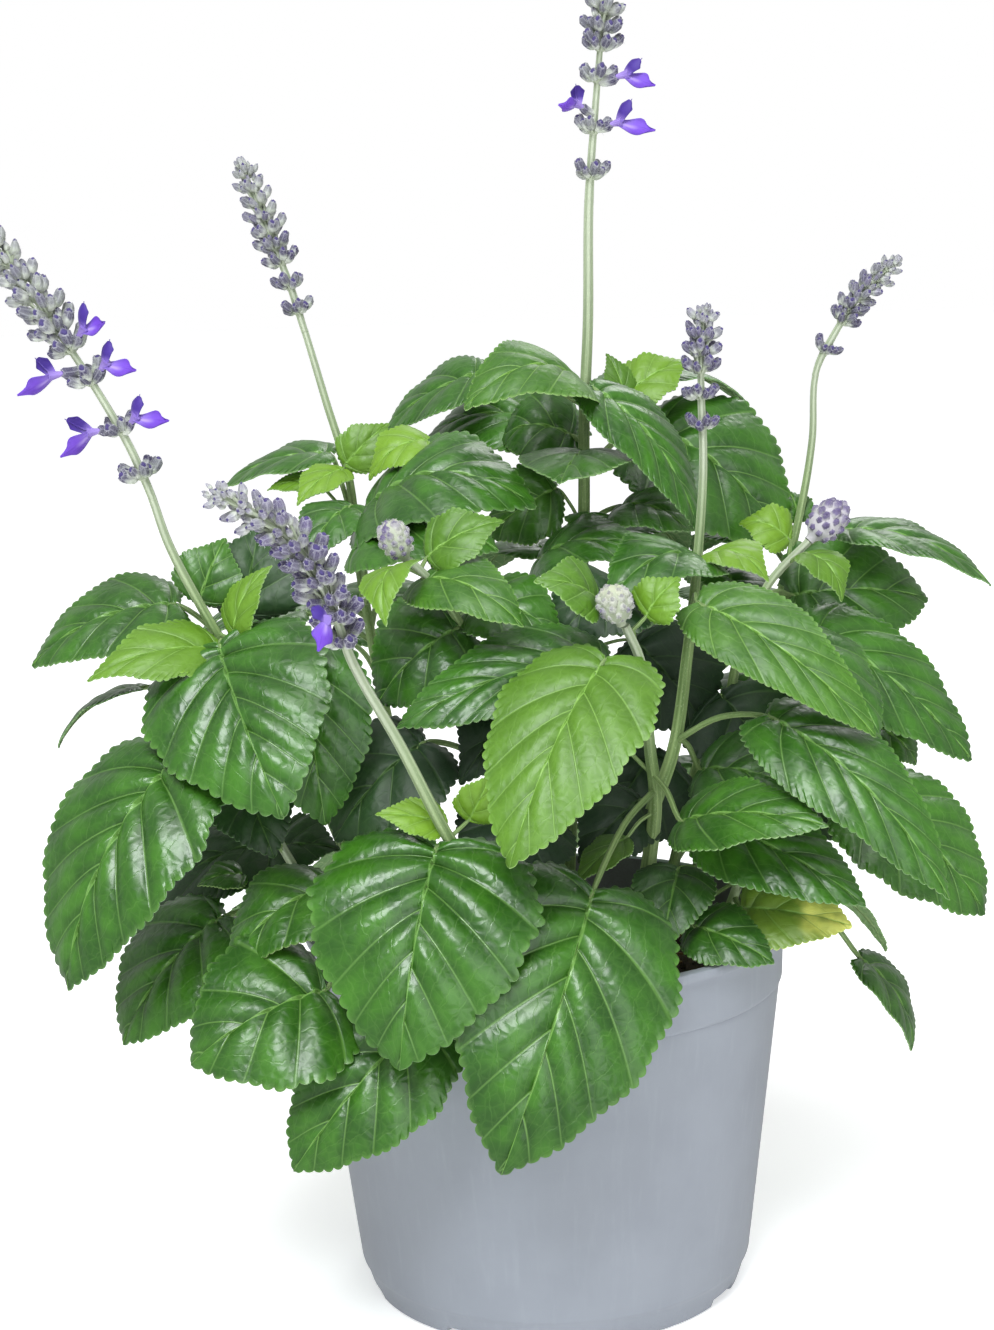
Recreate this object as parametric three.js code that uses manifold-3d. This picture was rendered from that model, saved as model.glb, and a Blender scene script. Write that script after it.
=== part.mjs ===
// Perennial salvia growing in a grey plastic nursery pot. Millimetres, +Z up.
// The pot stands on z = 0 with its axis on the Z axis. -Y is the front.
import * as THREE from "three";
import { mergeVertices } from "three/addons/utils/BufferGeometryUtils.js";
import Module from "manifold-3d";

const wasm = await Module();
wasm.setup();

// ---- sizes -----------------------------------------------------------------------------------
const POT_HEIGHT = 130;
const LIP_RADIUS = 85;
const LIP_HEIGHT = 3.6;
const COLLAR_TOP_RADIUS = 82.2;
const COLLAR_FOOT_RADIUS = 81.5;
const GROOVE_RADIUS = 80.6;
const GROOVE_HEIGHT = 108.4;
const WALL_FOOT_RADIUS = 69.0;
const WALL_FOOT_HEIGHT = 10.5;
const FOOT_TOP_RADIUS = 67.8;
const FOOT_RADIUS = 65.5;
const WALL_THICKNESS = 1.6;
const FLOOR_THICKNESS = 3;
const POT_SIDES = 30;
const NOTCH_COUNT = 8;
const NOTCH_SIZE = { deep: 9, wide: 15, high: 5.5 };
const CLEARANCE = 0.4;
const SOIL_EDGE_HEIGHT = 112;
const SOIL_DOME = 5;
const STEM_ROOT_HEIGHT = 101;
const HOLE_MARGIN = 1.0;
const BLADE_THICKNESS = 0.9;
const STALK = 1.0;
const SMALL_STALK = 0.7;
const STALK_RISE = 0.1;
const BROAD_OVER = 40;

// ---- colours ---------------------------------------------------------------------------------
const look = (color, roughness) => new THREE.MeshStandardMaterial({ color, roughness, metalness: 0 });
const GREY_PLASTIC = look(0xa5acb6, 0.5);
const POTTING_MIX = look(0x3a2b20, 0.95);
const LEAF_GREEN = look(0x2f6b25, 0.45);
const CALYX_GREY = look(0x8d8a9c, 0.85);
const BUD_PALE = look(0xc9cbb8, 0.85);
const VIOLET = look(0x5b35c8, 0.6);

// ---- solids ----------------------------------------------------------------------------------
const vec = (p) => new THREE.Vector3(p[0], p[1], p[2]);

// A closed geometry from corner points and faces given as corner numbers.
function closedGeometry(points, faces) {
  const geometry = new THREE.BufferGeometry();
  const numbers = points.flatMap((p) => p.toArray());
  geometry.setAttribute("position", new THREE.Float32BufferAttribute(numbers, 3));
  geometry.setIndex(faces.flat());
  return geometry;
}

function toSolid(geometry) {
  const bare = geometry.clone();
  bare.deleteAttribute("normal");
  bare.deleteAttribute("uv");
  const merged = mergeVertices(bare, 1e-4);
  const index = Array.from(merged.getIndex().array);
  const triVerts = [];
  for (let i = 0; i < index.length; i += 3) {
    const [a, b, c] = index.slice(i, i + 3);
    if (a !== b && b !== c && c !== a) triVerts.push(a, b, c);
  }
  const mesh = new wasm.Mesh({
    numProp: 3,
    vertProperties: Float32Array.from(merged.getAttribute("position").array),
    triVerts: Uint32Array.from(triVerts),
  });
  return new wasm.Manifold(mesh);
}

function joinAll(solids) {
  let joined = solids[0];
  for (const solid of solids.slice(1)) joined = joined.add(solid);
  return joined;
}

// The connected body that holds most of the solid: scraps from grazing cuts are dropped.
function mainBody(solid) {
  const bodies = solid.decompose();
  bodies.sort((a, b) => b.volume() - a.volume());
  return bodies[0];
}

function toMesh(name, solid, material) {
  const { vertProperties, triVerts } = mainBody(solid).getMesh();
  const geometry = new THREE.BufferGeometry();
  geometry.setAttribute("position", new THREE.Float32BufferAttribute(vertProperties, 3));
  geometry.setIndex(Array.from(triVerts));
  geometry.computeVertexNormals();
  const mesh = new THREE.Mesh(geometry, material);
  mesh.name = name;
  return mesh;
}

// ---- stems and petioles ----------------------------------------------------------------------
// A closed tube through the points, with a radius at each and few flat sides.
function tube(points, radii, sides) {
  const corners = [];
  const faces = [];
  const side = new THREE.Vector3();
  points.forEach((point, i) => {
    const ahead = points[Math.min(i + 1, points.length - 1)];
    const along = ahead.clone().sub(points[Math.max(i - 1, 0)]).normalize();
    if (i === 0) side.set(Math.abs(along.x) < 0.8 ? 1 : 0, Math.abs(along.x) < 0.8 ? 0 : 1, 0);
    side.addScaledVector(along, -side.dot(along)).normalize();
    const across = along.clone().cross(side);
    for (let k = 0; k < sides; k++) {
      const angle = (2 * Math.PI * (k + 0.5)) / sides;
      corners.push(point.clone()
        .addScaledVector(side, radii[i] * Math.cos(angle))
        .addScaledVector(across, radii[i] * Math.sin(angle)));
    }
  });
  for (let i = 0; i + 1 < points.length; i++) {
    for (let k = 0; k < sides; k++) {
      const a = i * sides + k;
      const b = i * sides + ((k + 1) % sides);
      faces.push([a, b, b + sides], [a, b + sides, a + sides]);
    }
  }
  const last = (points.length - 1) * sides;
  for (let k = 1; k + 1 < sides; k++) {
    faces.push([0, k + 1, k], [last, last + k, last + k + 1]);
  }
  return toSolid(closedGeometry(corners, faces));
}

// The point of a stem at a height.
function onStem(route, height) {
  for (let i = 0; i + 1 < route.length; i++) {
    const [low, high] = [route[i], route[i + 1]];
    if (height <= high[2] || i + 2 === route.length) {
      const part = (height - low[2]) / (high[2] - low[2]);
      return vec(low).lerp(vec(high), part);
    }
  }
}

// ---- blades ----------------------------------------------------------------------------------
// Outlines as [part of the length, part of the half width], from the heart-shaped base to the tip.
const BROAD = {
  outline: [[-0.07, 0.36], [0.02, 0.8], [0.16, 0.92], [0.28, 1.02], [0.43, 0.93], [0.58, 0.86],
    [0.72, 0.62], [0.86, 0.4]],
  ribParts: [0.25, 0.5, 0.75],
};
const MIDDLING = {
  outline: [[-0.05, 0.45], [0.12, 0.93], [0.38, 1.0], [0.6, 0.74], [0.8, 0.48]],
  ribParts: [0.3, 0.65],
};
const SMALL = {
  outline: [[0.02, 0.45], [0.2, 0.95], [0.4, 0.88], [0.52, 0.9], [0.76, 0.42]],
  ribParts: [0.45],
};

// One leaf: an arched midrib with the outline on both sides, split alike on both faces. The foot of
// the blade carries on as the petiole, along the stalk's points from its root on the stem.
function blade({ base, tip, width, facing, arch, cup, outline, ribParts, stalk, stalkRadius }) {
  const length = tip.distanceTo(base);
  const along = tip.clone().sub(base).normalize();
  const up = facing.clone().addScaledVector(along, -facing.dot(along)).normalize();
  const side = along.clone().cross(up);
  const at = (part, half) => base.clone()
    .addScaledVector(along, part * length)
    .addScaledVector(up, arch * 4 * part * (1 - part) + cup * Math.abs(half))
    .addScaledVector(side, half);
  const rib = [...ribParts, 1];
  const top = [at(0, stalkRadius), at(0, -stalkRadius), ...rib.map((part) => at(part, 0))];
  const ribNumbers = rib.map((_, i) => i + 2);
  const tipNumber = ribNumbers[ribNumbers.length - 1];
  const faces = [[0, 2, 1]];
  const rims = [];
  for (const hand of [1, -1]) {
    const edge = outline.map(([part, half]) => {
      top.push(at(part, (hand * half * width) / 2));
      return [part, top.length - 1];
    });
    edge.push([1, tipNumber]);
    rims.push(edge.map((e) => e[1]));
    const ribChain = [[0, hand === 1 ? 0 : 1], ...rib.map((part, i) => [part, ribNumbers[i]])];
    let r = 0;
    let e = 0;
    while (r < ribChain.length - 1 || e < edge.length - 1) {
      const moveEdge = e < edge.length - 1
        && (r >= ribChain.length - 2 || edge[e + 1][0] <= ribChain[r + 1][0]);
      const face = moveEdge
        ? [ribChain[r][1], edge[e + 1][1], edge[e][1]]
        : [ribChain[r][1], ribChain[r + 1][1], edge[e][1]];
      if (moveEdge) e += 1;
      else r += 1;
      if (new Set(face).size === 3) faces.push(hand === 1 ? [face[0], face[2], face[1]] : face);
    }
  }
  const count = top.length;
  const points = [...top, ...top.map((p) => p.clone().addScaledVector(up, -BLADE_THICKNESS))];
  const underFaces = faces.map(([a, b, c]) => [a + count, c + count, b + count]);
  const loop = [0, ...rims[0].slice(0, -1), tipNumber, ...rims[1].slice(0, -1).reverse(), 1];
  const walls = loop.slice(0, -1).flatMap((a, i) => {
    const b = loop[i + 1];
    return [[a, a + count, b], [b, a + count, b + count]];
  });
  // the foot of the blade is a small four-cornered opening, which the petiole or a cap closes
  let ring = [0, 1, 1 + count, count];
  const stalkFaces = [];
  const path = [...stalk, base];
  for (let i = path.length - 2; i >= 0; i--) {
    const point = path[i];
    const ahead = path[i + 1].clone().sub(path[Math.max(i - 1, 0)]).normalize();
    const [flatUp, flatSide] = [up, side].map((v) => v.clone().addScaledVector(ahead, -v.dot(ahead)));
    if (flatUp.length() > flatSide.length()) flatSide.copy(ahead).cross(flatUp);
    else flatUp.copy(flatSide).cross(ahead);
    flatUp.normalize();
    flatSide.normalize();
    const next = [[1, 1], [-1, 1], [-1, -1], [1, -1]].map(([sideways, upwards]) => {
      points.push(point.clone()
        .addScaledVector(flatSide, sideways * stalkRadius)
        .addScaledVector(flatUp, upwards * stalkRadius));
      return points.length - 1;
    });
    for (let k = 0; k < 4; k++) {
      const n = (k + 1) % 4;
      stalkFaces.push([ring[k], ring[n], next[n]], [ring[k], next[n], next[k]]);
    }
    ring = next;
  }
  stalkFaces.push([ring[0], ring[1], ring[2]], [ring[0], ring[2], ring[3]]);
  const all = [...faces, ...underFaces, ...walls, ...stalkFaces];
  const solid = toSolid(closedGeometry(points, all));
  return solid.volume() > 0 ? solid : toSolid(closedGeometry(points, all.map(([a, b, c]) => [a, c, b])));
}

const STAR_SWELL = 1.15;
const STAR_DIP = 0.35;

// A tube whose rings are stars: rows of pointed scales or calyces round an axis, as one body.
// A row holds its centre, its axis, the radius between the points, and for a row with points the
// radius that each of them reaches and their lift along the axis.
function starTube(foot, rows, top, points) {
  const corners = [foot];
  const faces = [];
  const rings = [];
  const addRing = ({ centre, axis, turn = 0 }, radiusAt, liftAt) => {
    const side = new THREE.Vector3(1, 0, 0).addScaledVector(axis, -axis.x).normalize();
    const across = axis.clone().cross(side);
    const ring = [];
    for (let k = 0; k < 2 * points; k++) {
      const angle = (Math.PI * (k + turn)) / points;
      corners.push(centre.clone()
        .addScaledVector(side, radiusAt(k) * Math.cos(angle))
        .addScaledVector(across, radiusAt(k) * Math.sin(angle))
        .addScaledVector(axis, liftAt(k)));
      ring.push(corners.length - 1);
    }
    rings.push(ring);
  };
  for (const row of rows) {
    addRing(row, () => row.radius, () => 0);
    if (row.reachOf) {
      const between = (k) => k % 2 === 1 || row.reachOf(k / 2) === 0;
      addRing(row, (k) => (between(k) ? row.radius * STAR_SWELL : row.reachOf(k / 2)),
        (k) => (between(k) ? row.lift * STAR_DIP : row.lift));
    }
  }
  corners.push(top);
  const last = corners.length - 1;
  const count = 2 * points;
  const [first, final] = [rings[0], rings[rings.length - 1]];
  for (let k = 0; k < count; k++) {
    const next = (k + 1) % count;
    faces.push([0, first[next], first[k]], [last, final[k], final[next]]);
    for (let i = 0; i + 1 < rings.length; i++) {
      const [low, high] = [rings[i], rings[i + 1]];
      faces.push([low[k], low[next], high[next]], [low[k], high[next], high[k]]);
    }
  }
  return toSolid(closedGeometry(corners, faces));
}

// A spindle with three sides: the calyx of an open flower.
function spindle(root, tip, radius) {
  const along = tip.clone().sub(root).normalize();
  const side = new THREE.Vector3(-along.y, along.x, 0.05).cross(along).normalize();
  const across = along.clone().cross(side);
  const middle = root.clone().lerp(tip, CALYX_WIDEST);
  const ring = [0, 1, 2].map((k) => {
    const angle = (2 * Math.PI * k) / 3;
    return middle.clone()
      .addScaledVector(side, radius * Math.cos(angle))
      .addScaledVector(across, radius * Math.sin(angle));
  });
  const faces = [];
  for (let k = 0; k < 3; k++) {
    const next = (k + 1) % 3;
    faces.push([0, 2 + next, 2 + k], [1, 2 + k, 2 + next]);
  }
  return toSolid(closedGeometry([root, tip, ...ring], faces));
}

// ---- pot and soil ----------------------------------------------------------------------------
function lathe(profile, sides) {
  return toSolid(new THREE.LatheGeometry(profile.map(([r, z]) => new THREE.Vector2(r, z)), sides)
    .rotateX(Math.PI / 2));
}

function wallRadius(height) {
  const part = (height - WALL_FOOT_HEIGHT) / (GROOVE_HEIGHT - WALL_FOOT_HEIGHT);
  return WALL_FOOT_RADIUS + (GROOVE_RADIUS - WALL_FOOT_RADIUS) * part;
}

function makePot() {
  const inner = (radius) => radius - WALL_THICKNESS;
  const shell = lathe([
    [0, 0],
    [FOOT_RADIUS - 1.5, 0],
    [FOOT_RADIUS, 1.2],
    [FOOT_TOP_RADIUS, WALL_FOOT_HEIGHT - 2],
    [WALL_FOOT_RADIUS, WALL_FOOT_HEIGHT],
    [GROOVE_RADIUS, GROOVE_HEIGHT],
    [GROOVE_RADIUS, GROOVE_HEIGHT + 0.8],
    [COLLAR_FOOT_RADIUS, GROOVE_HEIGHT + 1.4],
    [COLLAR_TOP_RADIUS, POT_HEIGHT - LIP_HEIGHT],
    [LIP_RADIUS, POT_HEIGHT - LIP_HEIGHT],
    [LIP_RADIUS, POT_HEIGHT - 0.8],
    [LIP_RADIUS - 0.8, POT_HEIGHT],
    [inner(COLLAR_TOP_RADIUS) + 0.6, POT_HEIGHT],
    [inner(COLLAR_TOP_RADIUS), POT_HEIGHT - 0.8],
    [inner(GROOVE_RADIUS), GROOVE_HEIGHT],
    [inner(WALL_FOOT_RADIUS) - 1.2, WALL_FOOT_HEIGHT + 1],
    [inner(FOOT_RADIUS) - 0.5, FLOOR_THICKNESS],
    [0, FLOOR_THICKNESS],
  ], POT_SIDES);
  let pot = shell;
  for (let k = 0; k < NOTCH_COUNT; k++) {
    const angle = (2 * Math.PI * (k + 0.35)) / NOTCH_COUNT;
    const notch = new THREE.BoxGeometry(NOTCH_SIZE.deep, NOTCH_SIZE.wide, NOTCH_SIZE.high)
      .translate(FOOT_RADIUS + 0.5, 0, NOTCH_SIZE.high / 2 - 1)
      .rotateZ(angle);
    pot = pot.subtract(toSolid(notch));
  }
  return pot;
}

function makeSoil(routes) {
  const gap = 2 * CLEARANCE + WALL_THICKNESS;
  const radiusAt = (height) => wallRadius(height) - gap;
  const bottom = FLOOR_THICKNESS + CLEARANCE;
  const shoulder = WALL_FOOT_HEIGHT + 1;
  let soil = lathe([
    [0, bottom],
    [FOOT_RADIUS - gap - 1.1, bottom],
    [radiusAt(shoulder) - 2.2, shoulder],
    [radiusAt(GROOVE_HEIGHT) - 0.4, GROOVE_HEIGHT],
    [radiusAt(GROOVE_HEIGHT), SOIL_EDGE_HEIGHT],
    [60, SOIL_EDGE_HEIGHT + SOIL_DOME * 0.55],
    [30, SOIL_EDGE_HEIGHT + SOIL_DOME],
    [0, SOIL_EDGE_HEIGHT + SOIL_DOME * 1.1],
  ], POT_SIDES);
  for (const { route, radii } of routes) {
    const root = vec(route[0]);
    const slope = vec(route[1]).sub(root).normalize();
    const bottomEnd = root.clone().addScaledVector(slope, -0.6);
    const topEnd = root.clone().addScaledVector(slope, 30);
    const radius = radii[0] + HOLE_MARGIN;
    soil = soil.subtract(tube([bottomEnd, topEnd], [radius, radius], 4));
  }
  return soil;
}

// ---- the stems: routes from the root up, with the radius at the root and at the top ------------
const ROOT = STEM_ROOT_HEIGHT;
const STEMS = {
  left: {
    route: [[-50, -10, ROOT], [-68, -18, 160], [-88, -28, 212], [-103, -35, 234], [-111, -38, 250],
      [-119.5, -41, 270], [-123.8, -42, 284.9]],
    radii: [2.9, 1.5],
  },
  back_left: {
    route: [[-38, 26, ROOT], [-52, 28, 180], [-62, 30, 250], [-65, 38, 281], [-72.5, 45, 308],
      [-79.2, 49, 332.7]],
    radii: [2.6, 1.4],
  },
  back: {
    route: [[6, 26, ROOT], [12, 26, 190], [17, 25, 263], [18, 24, 300], [20, 22, 334],
      [21.2, 20, 374.9]],
    radii: [3.2, 1.8],
  },
  main: {
    route: [[27, -28, ROOT], [33, -35, 151], [36, -42, 180], [34, -50, 200], [31, -61, 230],
      [26, -66, 243]],
    radii: [3.6, 1.6],
    fork: { route: [[35, -39, 176], [43, -34, 196], [49, -22, 226], [53, -12, 250], [56, -8, 281],
      [56.3, -8, 291.7]], radii: [2.6, 1.5] },
  },
  right_back: {
    route: [[46, 24, ROOT], [62, 34, 160], [83, 42, 218], [96, 51, 263], [100.6, 53, 288],
      [102.2, 54, 311.4]],
    radii: [2.6, 1.3],
  },
  front_left: {
    route: [[-20, -42, ROOT], [-23, -60, 148], [-26, -72, 168], [-32, -84, 181.5], [-45, -97, 213.5],
      [-57.3, -109.5, 241]],
    radii: [2.9, 1.7],
  },
  front_centre: {
    route: [[-16, -16, ROOT], [-18, -30, 190], [-24, -40, 235], [-35, -48, 256], [-42, -52, 264]],
    radii: [2.6, 1.5],
  },
  right: {
    route: [[46, 0, ROOT], [60, 6, 170], [70, 10, 222], [80, 11, 243], [94, 13, 257]],
    radii: [2.8, 1.5],
  },
  low_front_left: {
    route: [[-42, -36, ROOT], [-50, -48, 132], [-58, -56, 152]],
    radii: [2.4, 1.6],
  },
  low_left: {
    route: [[-62, -22, ROOT], [-76, -30, 140], [-90, -38, 172]],
    radii: [2.4, 1.6],
  },
  low_right: {
    route: [[48, -34, ROOT], [58, -38, 135], [68, -42, 165]],
    radii: [2.4, 1.6],
  },
  low_back_left: {
    route: [[-34, 48, ROOT], [-48, 62, 150], [-58, 74, 200], [-60, 77, 220]],
    radii: [2.6, 1.5],
  },
  low_back: {
    route: [[6, 58, ROOT], [7, 70, 150], [9, 82, 200], [9, 88, 240]],
    radii: [2.6, 1.5],
  },
  low_back_right: {
    route: [[40, 50, ROOT], [54, 62, 150], [66, 72, 196], [70, 78, 232]],
    radii: [2.6, 1.5],
  },
};

// ---- the leaves --------------------------------------------------------------------------------
// [stem, height on the stem, base, tip, width, facing, arch, edge lift per half width, small]
const LEAVES = [
  ["front_left", 176, [-35, -84, 178], [-48, -118, 117], 72, [-0.1, -0.85, 0.5], 10, -0.1],
  ["low_front_left", 150, [-42, -92, 124], [-83, -104, 80], 48, [-0.1, -0.8, 0.55], 6, -0.05],
  ["low_front_left", 148, [-72, -84, 132], [-114, -98, 114], 58, [-0.15, -0.75, 0.65], 7, -0.05],
  ["low_front_left", 146, [-71, -62, 160], [-103, -74, 138], 38, [-0.2, -0.5, 0.85], 6, 0],
  ["low_left", 140, [-108, -46, 146], [-141, -60, 108], 48, [-0.35, -0.6, 0.7], 6, -0.05],
  ["low_left", 165, [-118, -62, 203], [-154, -82, 134], 60, [-0.5, -0.75, 0.43], 11, -0.08],
  ["low_left", 150, [-101, -30, 156], [-117, -34, 154], 16, [0, -0.4, 0.9], 2, 0, "small"],
  ["left", 236, [-104, -46, 237], [-82, -92, 191], 64, [-0.25, -0.75, 0.6], 8, -0.08],
  ["left", 237, [-104, -42, 235], [-146, -56, 229], 28, [0, -0.6, 0.8], 6, 0, "small"],
  ["left", 233, [-106, -44, 234], [-129, -60, 230], 16, [0, -0.6, 0.8], 3, 0, "small"],
  ["left", 226, [-122, -14, 246], [-171, -16, 227], 40, [-0.1, -0.5, 0.8], 7, -0.05],
  ["left", 205, [-139, 6, 214], [-168, 6, 194], 26, [-0.1, 0.05, 1], 5, 0],
  ["left", 238, [-112, -30, 249], [-103, -22, 269], 24, [0.1, -0.75, 0.5], 4, 0, "small"],
  ["left", 239, [-100, -42, 239], [-87, -40, 262], 18, [-0.5, -0.6, 0.6], 4, 0, "small"],
  ["left", 215, [-78, -52, 236], [-71, -66, 181], 42, [0, -0.8, 0.6], 6, -0.05],
  ["back_left", 262, [-72, 46, 289], [-112, 52, 277], 34, [-0.15, -0.2, 1], 4, 0],
  ["back_left", 267, [-66, 30, 285], [-82, 14, 275], 18, [-0.1, -0.5, 0.85], 3, 0, "small"],
  ["back_left", 262, [-76, 34, 280], [-94, 36, 278], 14, [-0.1, -0.4, 0.9], 2, 0, "small"],
  ["back_left", 268, [-66, 34, 286], [-50, 38, 300], 18, [0.3, -0.7, 0.6], 3, 0, "small"],
  ["back_left", 262, [-35, 20, 295], [-57, 14, 283], 22, [-0.2, -0.6, 0.75], 6, 0, "small"],
  ["back_left", 250, [-63, 14, 274], [-78, -6, 258], 26, [-0.2, -0.6, 0.75], 4, 0],
  ["back_left", 243, [-57, 10, 274], [0, -8, 275], 55, [0, -0.5, 0.85], 14, -0.05],
  ["back_left", 236, [-59, -4, 264], [-13, -20, 262], 42, [0, -0.5, 0.85], 9, -0.05],
  ["back", 305, [-18, 44, 316], [-53, 54, 296], 34, [-0.3, -0.4, 0.85], 3, 0],
  ["back", 300, [16, 10, 315], [-23, -14, 309], 36, [-0.1, -0.6, 0.8], 11, -0.05],
  ["back", 298, [21, 12, 312], [55, -2, 264], 34, [0.45, -0.5, 0.75], 7, -0.05],
  ["back", 309, [33, 36, 306], [27, 40, 322], 12, [0.2, -0.7, 0.6], 2, 0, "small"],
  ["back", 306, [34, 38, 308], [56, 46, 318], 22, [-0.2, -0.75, 0.6], 3, 0, "small"],
  ["back", 303, [29, 56, 310], [81, 84, 299], 34, [0, -0.1, 1], 8, 0],
  ["back", 290, [16, 50, 291], [-38, 66, 292], 38, [0, -0.6, 0.8], 12, 0],
  ["back", 292, [14, 34, 294], [-11, 40, 293], 34, [0, -0.75, 0.6], 8, 0],
  ["back", 279, [17, 14, 290], [8, -28, 285], 38, [0, -0.15, 1], 2, -0.05],
  ["back", 281, [44, 56, 294], [90, 44, 252], 66, [0.25, -0.7, 0.65], 8, -0.05],
  ["back", 262, [8, 30, 276], [-18, 34, 258], 34, [-0.1, -0.7, 0.6], 3, 0, "small"],
  ["back", 258, [19, 22, 268], [20, 14, 257], 20, [0.2, -0.6, 0.7], 2, 0, "small"],
  ["back", 262, [31, 26, 270], [53, 12, 262], 30, [0.2, -0.55, 0.8], 4, 0],
  ["back", 240, [1, 10, 254], [38, -4, 255], 34, [0, -0.45, 0.9], 8, 0],
  ["front_centre", 257, [-38, -48, 257], [-6, -72, 245], 28, [0.1, -0.65, 0.75], 7, -0.05],
  ["front_centre", 260, [-36, -46, 264], [-11, -46, 275], 22, [-0.1, -0.75, 0.6], 4, 0, "small"],
  ["front_centre", 258, [-44, -52, 262], [-49, -76, 247], 20, [-0.45, -0.55, 0.7], 7, 0, "small"],
  ["front_centre", 238, [-20, -34, 247], [6, -44, 235], 34, [0.1, -0.6, 0.8], 5, 0],
  ["front_centre", 215, [-27, -44, 240], [-54, -46, 216], 40, [-0.1, -0.8, 0.55], 7, 0],
  ["main", 228, [20, -55, 230], [-47, -73, 214], 38, [-0.1, -0.65, 0.75], 8, -0.05],
  ["main", 214, [19, -76, 234], [-13, -116, 179], 50, [-0.32, -0.83, 0.45], 8, -0.08],
  ["main", 240, [18, -60, 250], [-2, -70, 259], 24, [0, -0.7, 0.7], 4, 0, "small"],
  ["main", 240, [33, -61, 245], [44, -60, 257], 18, [-0.2, -0.8, 0.5], 3, 0, "small"],
  ["main", 184, [13, -84, 161], [-18, -122, 84], 70, [0.15, -0.85, 0.5], 12, -0.08],
  ["main", 176, [26, -46, 169], [8, -62, 158], 14, [-0.2, -0.6, 0.8], 2, 0, "small"],
  ["main", 190, [43, -62, 178], [86, -92, 183], 30, [0.05, -0.65, 0.75], 5, 0],
  ["fork", 256, [54, -14, 256], [22, -44, 248], 36, [-0.1, -0.5, 0.85], 8, 0],
  ["fork", 254, [56, -16, 257], [75, -34, 251], 24, [0.2, -0.5, 0.85], 6, 0, "small"],
  ["fork", 240, [51, -52, 247], [103, -80, 208], 32, [0.1, -0.75, 0.65], 8, 0.05],
  ["fork", 198, [72, -60, 211], [124, -92, 158], 36, [0.11, -0.73, 0.67], 12, -0.06],
  ["fork", 200, [53, -20, 185], [85, -34, 180], 34, [0.1, -0.7, 0.7], 5, 0],
  ["right", 222, [80, -12, 231], [110, -44, 200], 38, [0.35, -0.5, 0.8], 6, -0.05],
  ["right", 224, [94, 4, 228], [147, -8, 183], 44, [0.3, -0.6, 0.7], 5, 0],
  ["right", 190, [106, -24, 176], [146, -38, 137], 50, [0.25, -0.65, 0.7], 6, -0.05],
  ["right", 244, [110, 34, 258], [160, 26, 238], 30, [0.1, -0.25, 1], 6, 0],
  ["right", 236, [91, 34, 235], [141, 44, 231], 46, [0.1, -0.8, 0.55], 6, 0],
  ["right", 250, [88, 18, 257], [71, 22, 263], 20, [-0.1, -0.7, 0.7], 5, 0, "small"],
  ["right", 250, [92, 6, 254], [103, -6, 239], 20, [0.4, -0.6, 0.7], 5, 0, "small"],
  ["low_right", 160, [52, -52, 175], [100, -78, 153], 36, [0.1, -0.7, 0.7], 5, -0.05],
  ["low_right", 146, [64, -46, 144], [98, -60, 141], 28, [0.1, -0.8, 0.6], 3, 0],
  ["low_right", 160, [108, -14, 115], [125, -18, 83], 24, [0.7, -0.4, 0.5], 5, 0],
  ["low_right", 150, [43, -46, 158], [36, -66, 138], 27, [-0.1, -0.8, 0.5], 3, 0],
  ["low_right", 142, [47, -52, 140], [72, -66, 131], 24, [0, -0.7, 0.7], 3, 0],
  ["low_right", 162, [117, 6, 192], [130, 4, 179], 22, [0.3, -0.7, 0.6], 3, 0, "small"],
  ["right_back", 262, [96, 52, 259], [93, 60, 269], 14, [0, -0.8, 0.5], 2, 0, "small"],
  ["right_back", 214, [72, 62, 236], [64, 104, 226], 36, [0.1, 0.3, 0.9], 7, -0.05],
  ["front_left", 180, [-32, -80, 184], [-54, -84, 189], 15, [0, -0.7, 0.7], 2, 0, "small"],
  ["front_left", 180, [-25, -80, 185], [-17, -84, 201], 15, [0.2, -0.8, 0.5], 2, 0, "small"],
  ["front_centre", 190, [-39, -46, 203], [-69, -58, 174], 42, [-0.2, -0.75, 0.6], 6, -0.05],
  ["front_centre", 170, [-6, -38, 176], [-20, -62, 154], 40, [0, -0.7, 0.7], 5, -0.05],
  ["main", 215, [27, -20, 248], [6, -34, 234], 38, [0, -0.7, 0.7], 5, 0],
  ["low_left", 160, [-99, -37, 187], [-89, -54, 168], 28, [0, -0.75, 0.6], 4, 0],
  ["low_left", 146, [-92, -14, 164], [-138, -18, 142], 40, [-0.3, -0.5, 0.8], 5, 0],
  ["right", 160, [86, 8, 170], [120, 0, 150], 34, [0.3, -0.6, 0.75], 5, 0],
  ["low_left", 150, [-92, -20, 162], [-69, -34, 165], 28, [0, -0.7, 0.7], 3, 0, "small"],
  ["main", 190, [-3, -46, 218], [-28, -60, 192], 34, [-0.1, -0.8, 0.5], 4, 0, "small"],
  ["main", 150, [32, -30, 178], [10, -42, 160], 30, [0, -0.75, 0.6], 3, 0, "small"],
  ["back", 215, [33, 14, 224], [60, 2, 190], 47, [0.1, -0.8, 0.5], 4, 0, "small"],
  ["back", 180, [40, 10, 186], [14, -6, 152], 50, [0, -0.8, 0.5], 4, 0, "small"],
  ["right", 190, [62, 4, 206], [84, -8, 172], 46, [0.1, -0.8, 0.5], 4, 0, "small"],
  ["left", 232, [-98, -24, 243], [-92, -12, 272], 38, [0, -0.8, 0.5], 3, 0, "small"],
];

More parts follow.
